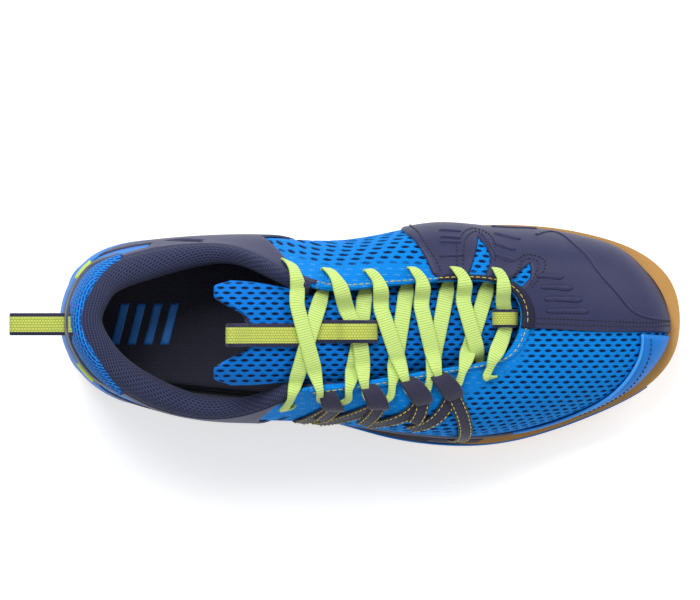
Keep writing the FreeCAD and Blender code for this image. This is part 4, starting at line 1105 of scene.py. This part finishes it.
# %% Heel loop
HINGE = np.array((-141.1, -1.2, 84.0))
reach_back = HINGE[0] - 27 + 1.7
loop = [(HINGE[0] - 1.4, HINGE[1], HINGE[2] + 1.15), (HINGE[0] - 8, HINGE[1], HINGE[2] + 1.5),
        (HINGE[0] - 16, HINGE[1], HINGE[2] + 1.6), (reach_back + 1, HINGE[1], HINGE[2] + 1.3)]
loop += [(reach_back - 1.3 * math.cos(t), HINGE[1], HINGE[2] + 1.15 * math.sin(t))
         for t in (1.0, 0.5, 0, -0.5, -1.0)]
loop += [(reach_back + 1, HINGE[1], HINGE[2] - 1.3), (HINGE[0] - 16, HINGE[1], HINGE[2] - 1.6),
         (HINGE[0] - 8, HINGE[1], HINGE[2] - 1.5), (HINGE[0] - 1.4, HINGE[1], HINGE[2] - 1.15)]
band("heel_loop_webbing", loop, [(0, 1, 0)] * len(loop), 10.4, 1.0, LIME_WEBBING, step=0.9,
     body="heel_loop",
     slot="lime_webbing", replaces=("heel_pull_loop",))
tab = [(x, HINGE[1], z) for x, z in ((-136.5, 87.0), (-138.5, 87.4), (-140.1, 86.2), (-140.3, 84.0),
                                     (-140.0, 80.5))]
band("heel_loop_tab", tab, [(0, 1, 0)] * len(tab), 10.7, 0.9, LIME_WEBBING, step=0.9, slot="lime_webbing",
     replaces=("heel_loop_stub",))

# %% [markdown]
# ## Straps and lace
#
# On the outer side four webbing straps spring from the sole, each on two legs. Where the legs meet
# the strap arches over the lace and dives under the throat's edge. Yellow stitches run down both
# edges of every leg.

# %% Side straps
SIDE_STRAPS = [
    ((18.53, 0.50), (18.15, 0.14), (17.16, 0.79), (16.98, 0.95)),
    ((19.28, 0.47), (18.28, 0.62), (17.72, 0.81), (17.55, 0.955)),
    ((20.3, 0.40), (19.25, 0.52), (18.50, 0.80), (18.30, 0.95)),
    ((20.55, 0.46), (20.0, 0.55), (19.32, 0.77), (19.19, 0.94)),
]


def strap_leg(name, foot_at, fork, out, width, replaces=()):
    """One leg of a strap on the surface, with its two stitched edges."""
    t = np.linspace(0, 1.04, 8)
    u, v = foot_at[0] + (fork[0] - foot_at[0]) * t, foot_at[1] + (fork[1] - foot_at[1]) * t
    line, normal = layer(u, v, np.full(8, out)), skin_normal(u, v)
    across = np.cross(normal, np.gradient(line, axis=0))
    across /= np.linalg.norm(across, axis=1, keepdims=True)
    band(name, line, across, width, 0.9, NAVY_WEBBING, slot="navy_webbing", replaces=replaces)
    return [(line + normal * 0.62 + across * s * (width / 2 - 1.0), normal) for s in (-1, 1)]


seams = []
for number, (rear, front, fork, throat) in enumerate(SIDE_STRAPS, start=1):
    seams += strap_leg(f"strap_{number}_rear_leg", rear, fork, 1.0, 7.4, (f"side_strap_{number}",))
    seams += strap_leg(f"strap_{number}_front_leg", front, fork, 1.9, 7.0)
    t, rise = np.array([(0, 2.4), (0.1, 3.6), (0.25, 4.8), (0.45, 5.6), (0.75, 5.2), (1, 3.6),
                        (1.12, 1.4)]).T
    u, v = fork[0] + (throat[0] - fork[0]) * t, fork[1] - 0.02 + (throat[1] + 0.02 - fork[1]) * t
    line = layer(u, np.minimum(v, 0.999), rise)
    across = skin(u - 0.2, v) - skin(u + 0.2, v)
    band(f"strap_{number}_arch", line, across, [7.0, 8.0, 9.2, 9.8, 9.4, 8.4, 7.4], 0.9, NAVY_WEBBING,
         slot="navy_webbing")
stitches("strap_seams", seams, THREAD, pitch=2.6, length=1.7, radius=0.26, slot="lime_lace")

# %% [markdown]
# The lace is the path that the solids of the frame follow, from the top inner eyelet to the top
# outer one. It is held at every hole and strap, so it is one continuous swept band, narrow where a
# hole or a strap gathers it.

# %% Lace route
STRAP_TURNS = [((16.78, 0.875), (17.16, 0.88)), ((17.38, 0.89), (17.74, 0.89)),
               ((18.10, 0.885), (18.51, 0.885)), ((18.93, 0.87), (19.45, 0.865))]
MEDIAL_HOLES = [(10.18, 0.86), (9.22, 0.88), (8.43, 0.90), (7.58, 0.89), (6.68, 0.86), (5.83, 0.90)]
LATERAL_HOLES = [(16.15, 0.86), (20.30, 0.84)]
ABOVE, BENEATH = 2.4, -5.0
LACE_WIDE = 7.5


def place_at(place, out):
    return layer(np.array([place[0]]), np.array([place[1]]), np.array([out]))[0]


edge_u = np.linspace(5.5, 20.5, 1501)
EDGE = skin(edge_u, np.ones_like(edge_u))


def throat_edge(side, x):
    """Point of the throat's edge at x, on the medial or the lateral side."""
    rows = EDGE[edge_u < 13] if side > 0 else EDGE[edge_u > 13.2][::-1]
    order = np.argsort(rows[:, 0])
    return np.array([np.interp(x, rows[order, 0], rows[order, k]) for k in range(3)])


def crossing(start, end, start_under, end_under, level, bend):
    """The lace over the tongue between two places: (point, width direction, width)."""
    rows = []
    for t in np.linspace(0.08, 0.92, 15):
        p = start + (end - start) * t
        x = p[0] + bend * math.sin(math.pi * t) ** 2
        first = t < 0.5
        if (start if first else end)[1] > 0 and not (start_under if first else end_under):
            x += 3.0 * float(ease(0.34, 0.12, min(t, 1 - t)))
        edge = throat_edge(start[1] if first else end[1], x)
        inward = abs(edge[1]) - abs(p[1])
        sunk = start_under * float(ease(0.3, 0.14, t)) + end_under * float(ease(0.76, 0.9, t))
        tucked = 1.25 + 0.8 * float(ease(10, -20, x))
        z = float(tongue_z(np.array(x), p[1])) + level + (tucked - level) * sunk
        if not (start_under if first else end_under):
            crossed = 1.7 * float(ease(0.06, 0.18, min(t, 1 - t))) if level > 2 else 0
            z = max(z, edge[2] + 2.3 + crossed - (0.75 if level > 2 else 1.0) * max(0.0, inward - 1.0))
        slope = float(tongue_z(np.array(x + 1), p[1]) - tongue_z(np.array(x - 1), p[1]))
        narrow = min(1.0, (0.5 if (start if first else end)[1] < 0 else 0.76)
                     + 3.2 * (min(t, 1 - t) - 0.08))
        rows.append(((x, p[1], z), (2, 0, slope), LACE_WIDE * narrow))
    return rows


def through_hole(place, downwards):
    rows = []
    across = place_at((place[0] - 0.1, place[1]), 0) - place_at((place[0] + 0.1, place[1]), 0)
    across = across * (1 if across[0] > 0 else -1)
    levels = [(ABOVE, 4.2, 0.03, 0.0), (1.4, 3.5, -0.05, -0.02), (-0.8, 3.2, -0.1, -0.03),
              (-3.2, 3.2, -0.04, -0.02),
              (BENEATH, 3.6, 0.0, 0.0)]
    for out, width, ahead, below in levels if downwards else levels[::-1]:
        rows.append((place_at((place[0] + ahead, place[1] + below), out), across, width))
    return rows


def under_strap(number, forwards):
    front, rear = STRAP_TURNS[number]
    first, last = np.array((rear, front) if forwards else (front, rear), float)
    rows = []
    for t in (0.0, 0.25, 0.5, 0.75, 1.0):
        u, v = first + (last - first) * t - np.array((0, 0.03 * math.sin(math.pi * t)))
        down = place_at((u, v - 0.1), 0) - place_at((u, v + 0.1), 0)
        sideways = abs(2 * t - 1)
        across = np.array((1.0, 0, 0)) * sideways + down / np.linalg.norm(down) * (1 - sideways)
        rows.append((place_at((u, v), 2.4), across, 2.8 + 0.8 * sideways))
    return rows


# %% Lace


def inner(n, out):
    return place_at(MEDIAL_HOLES[n], out)


def strap(n, rear):
    return place_at(STRAP_TURNS[n][rear], 2.4)


lace_rows = through_hole(MEDIAL_HOLES[5], False)
lace_rows += crossing(inner(5, ABOVE), strap(3, 1), False, False, 4.8, 0) + under_strap(3, True)
lace_rows += (crossing(strap(3, 0), inner(3, BENEATH), False, True, 1.7, 1.0)
              + through_hole(MEDIAL_HOLES[3], False))
lace_rows += crossing(inner(3, ABOVE), strap(1, 1), False, False, 3.6, 0) + under_strap(1, True)
lace_rows += (crossing(strap(1, 0), inner(1, BENEATH), False, True, 1.7, 0)
              + through_hole(MEDIAL_HOLES[1], False))
lace_rows += crossing(inner(1, ABOVE), place_at(LATERAL_HOLES[0], BENEATH), False, True, 4.2, 0)
lace_rows += through_hole(LATERAL_HOLES[0], False)
lace_rows += crossing(place_at(LATERAL_HOLES[0], ABOVE), inner(0, ABOVE), False, False, 2.6, 7.0)
lace_rows += through_hole(MEDIAL_HOLES[0], True)
lace_rows += crossing(inner(0, BENEATH), strap(0, 0), True, False, 1.7, 0) + under_strap(0, False)
lace_rows += (crossing(strap(0, 1), inner(2, ABOVE), False, False, 3.6, 0)
              + through_hole(MEDIAL_HOLES[2], True))
lace_rows += crossing(inner(2, BENEATH), strap(2, 0), True, False, 1.7, 0) + under_strap(2, False)
lace_rows += (crossing(strap(2, 1), inner(4, ABOVE), False, False, 3.6, 4.8)
              + through_hole(MEDIAL_HOLES[4], True))
lace_rows += crossing(inner(4, BENEATH), place_at(LATERAL_HOLES[1], ABOVE), True, False, 3.4, 0)
lace_rows += through_hole(LATERAL_HOLES[1], True)
points = np.array([row[0] for row in lace_rows])
across = np.array([row[1] for row in lace_rows], float)
widths = np.array([row[2] for row in lace_rows])
across /= np.linalg.norm(across, axis=1, keepdims=True)
for k in range(1, len(across)):
    if across[k] @ across[k - 1] < 0:
        across[k] *= -1
band("flat_lace", points, across, widths, 1.25, LACE, step=0.7, sides=14, square=0.5, slot="lime_lace",
     replaces=("lace",))
lace_length = np.linalg.norm(np.diff(points, axis=0), axis=1).sum()
print("laced length in mm:", round(float(lace_length)))

# %% [markdown]
# ## Inside and below
#
# The footbed is a cushion of foam under a dark cloth, turned up a little at its rim. Its printed
# marks are plain slanted bars. The sole's own solids stay, with their gum and foam finishes, and a
# thin blue line is moulded round the foam.

# %% Footbed
outline = closed_curve(POLES[0], np.linspace(0, COUNT, 1200, endpoint=False))[:, :2]
heading = np.roll(outline, -1, 0) - np.roll(outline, 1, 0)
inward = np.c_[heading[:, 1], -heading[:, 0]] / np.linalg.norm(heading, axis=1, keepdims=True)
rim = outline + inward * 5.4
bed_x = np.linspace(rim[:, 0].min() + 0.4, rim[:, 0].max() - 0.4, 150)
upper_rim, lower_rim = rim[rim[:, 1] > 0], rim[rim[:, 1] <= 0]
upper_rim, lower_rim = upper_rim[np.argsort(upper_rim[:, 0])], lower_rim[np.argsort(lower_rim[:, 0])]
y_high = np.interp(bed_x, upper_rim[:, 0], upper_rim[:, 1])
y_low = np.interp(bed_x, lower_rim[:, 0], lower_rim[:, 1])
part = np.sin(np.linspace(-math.pi / 2, math.pi / 2, 48))
x = np.repeat(bed_x[:, None], 48, 1)
y = (y_high + y_low)[:, None] / 2 + (y_high - y_low)[:, None] / 2 * part
cup = 1.4 * np.abs(part) ** 6 + 0.7 * np.abs(part) ** 2
soft_rim = np.sqrt(np.clip(1 - np.abs(part) ** 24, 0, 1))
bed_top = np.stack([x, y, feather_z(x) + 2.2 + (4.1 + cup) * soft_rim], -1)
bed_low = np.stack([x, y, feather_z(x) + 2.0 + 0 * x], -1)
footbed = shell("cushioned_footbed", bed_top, bed_low, np.stack([x, y], -1), [FOOTBED],
                slot="footbed_cloth",
                replaces=("footbed",))


def bed_height(px, py):
    i = int(np.clip(np.searchsorted(bed_x, px), 1, 149))
    t = np.clip((py - (y_high[i] + y_low[i]) / 2) / ((y_high[i] - y_low[i]) / 2), -1, 1)
    return float(feather_z(px)) + 2.2 + 4.1 + 1.4 * abs(t) ** 6 + 0.7 * t * t


def printed_bar(name, x0, y0, length, width, slant, material):
    """A raised printed bar on the footbed: length along y, width along x."""
    a, b = np.meshgrid(np.linspace(0, 1, 5), np.linspace(0, 1, 14), indexing="ij")
    px, py = x0 + width * a + slant * b, y0 + length * b
    height = np.array([[bed_height(p, q) for p, q in zip(r, s)] for r, s in zip(px, py)])
    edge = 1 - np.maximum(np.abs(2 * a - 1), np.abs(2 * b - 1)) ** 6
    outer = np.stack([px, py, height + 0.12 + 0.16 * edge], -1)
    return shell(name, outer, np.stack([px, py, height - 0.2], -1), np.stack([px, py], -1), [material],
                 slot="footbed_cloth")


PRINT = pressed_film("blue_footbed_print", srgb("1f6fc4"), srgb("2a80d6"), 0.6)
for number, x0 in enumerate((-126, -118, -110, -102), start=1):
    printed_bar(f"footbed_bar_{number}", x0, -11, 20, 4.2, 5, PRINT)

# %% Blue line round the midsole
SOLE = np.array([
    (-150, 0), (-147.3, 17), (-140, 28), (-120, 37.5), (-95, 39), (-65, 36.5), (-35, 32.5), (-8, 33.5),
    (18, 40), (42, 46), (66, 47.6), (90, 46), (112, 41.5), (132, 33.5), (146, 20), (150.4, 1),
    (147, -16.5), (135, -31), (112, -43.5), (82, -54.5), (50, -59.8), (15, -57), (-12, -50),
    (-40, -44), (-70, -41), (-97, -40.5), (-120, -36.5), (-139, -26), (-147.3, -15)], float)
sole_poles = closed_poles(SOLE)


def sole_cord(name, t0, t1, height, out, width, thick, material, slot):
    """A moulded line round part of the sole's edge; height is between the base and the feather."""
    t = np.linspace(t0, t1, int(abs(t1 - t0) * 4) + 2)
    line = closed_curve(sole_poles, t)
    ahead = closed_curve(sole_poles, t + 0.01) - line
    away = np.c_[-ahead[:, 1], ahead[:, 0]] / np.linalg.norm(ahead, axis=1, keepdims=True)
    z = (ground_z(line[:, 0]) + 4.7) * (1 - height) + (feather_z(line[:, 0]) - 0.2) * height
    path = np.c_[line + away * out, z]
    ends = np.clip(np.minimum(t - t[0], t[-1] - t) * 1.6, 0.12, 1)
    return band(name, path, [(0, 0, 1)] * len(path), width * ends, thick, material, step=1.5, sides=8,
                square=0.8, slot=slot)


film_strip("lateral_foam_rand", 15.9, 22.0, -0.02,
           along_edge([(15.9, 0.03), (17, 0.09), (20, 0.11), (22, 0.06)]), 0.7, 2.2,
           FOAM, 3, columns=10, slot="eva_foam")
sole_cord("lateral_foam_shoulder", 18.5, 23.0, 0.74, -2.3, 7.5, 4.0, FOAM, "eva_foam")
sole_cord("medial_foam_shoulder", 6.8, 9.7, 0.74, -2.0, 7.5, 3.6, FOAM, "eva_foam")
sole_cord("blue_sole_line", -12, 8.0, 0.62, 0.5, 1.3, 1.1, BLUE_FILM, "blue_film")
sole_cord("midsole_groove_lip", -12, 8.0, 0.38, 0.45, 1.1, 1.1, FOAM, "eva_foam")
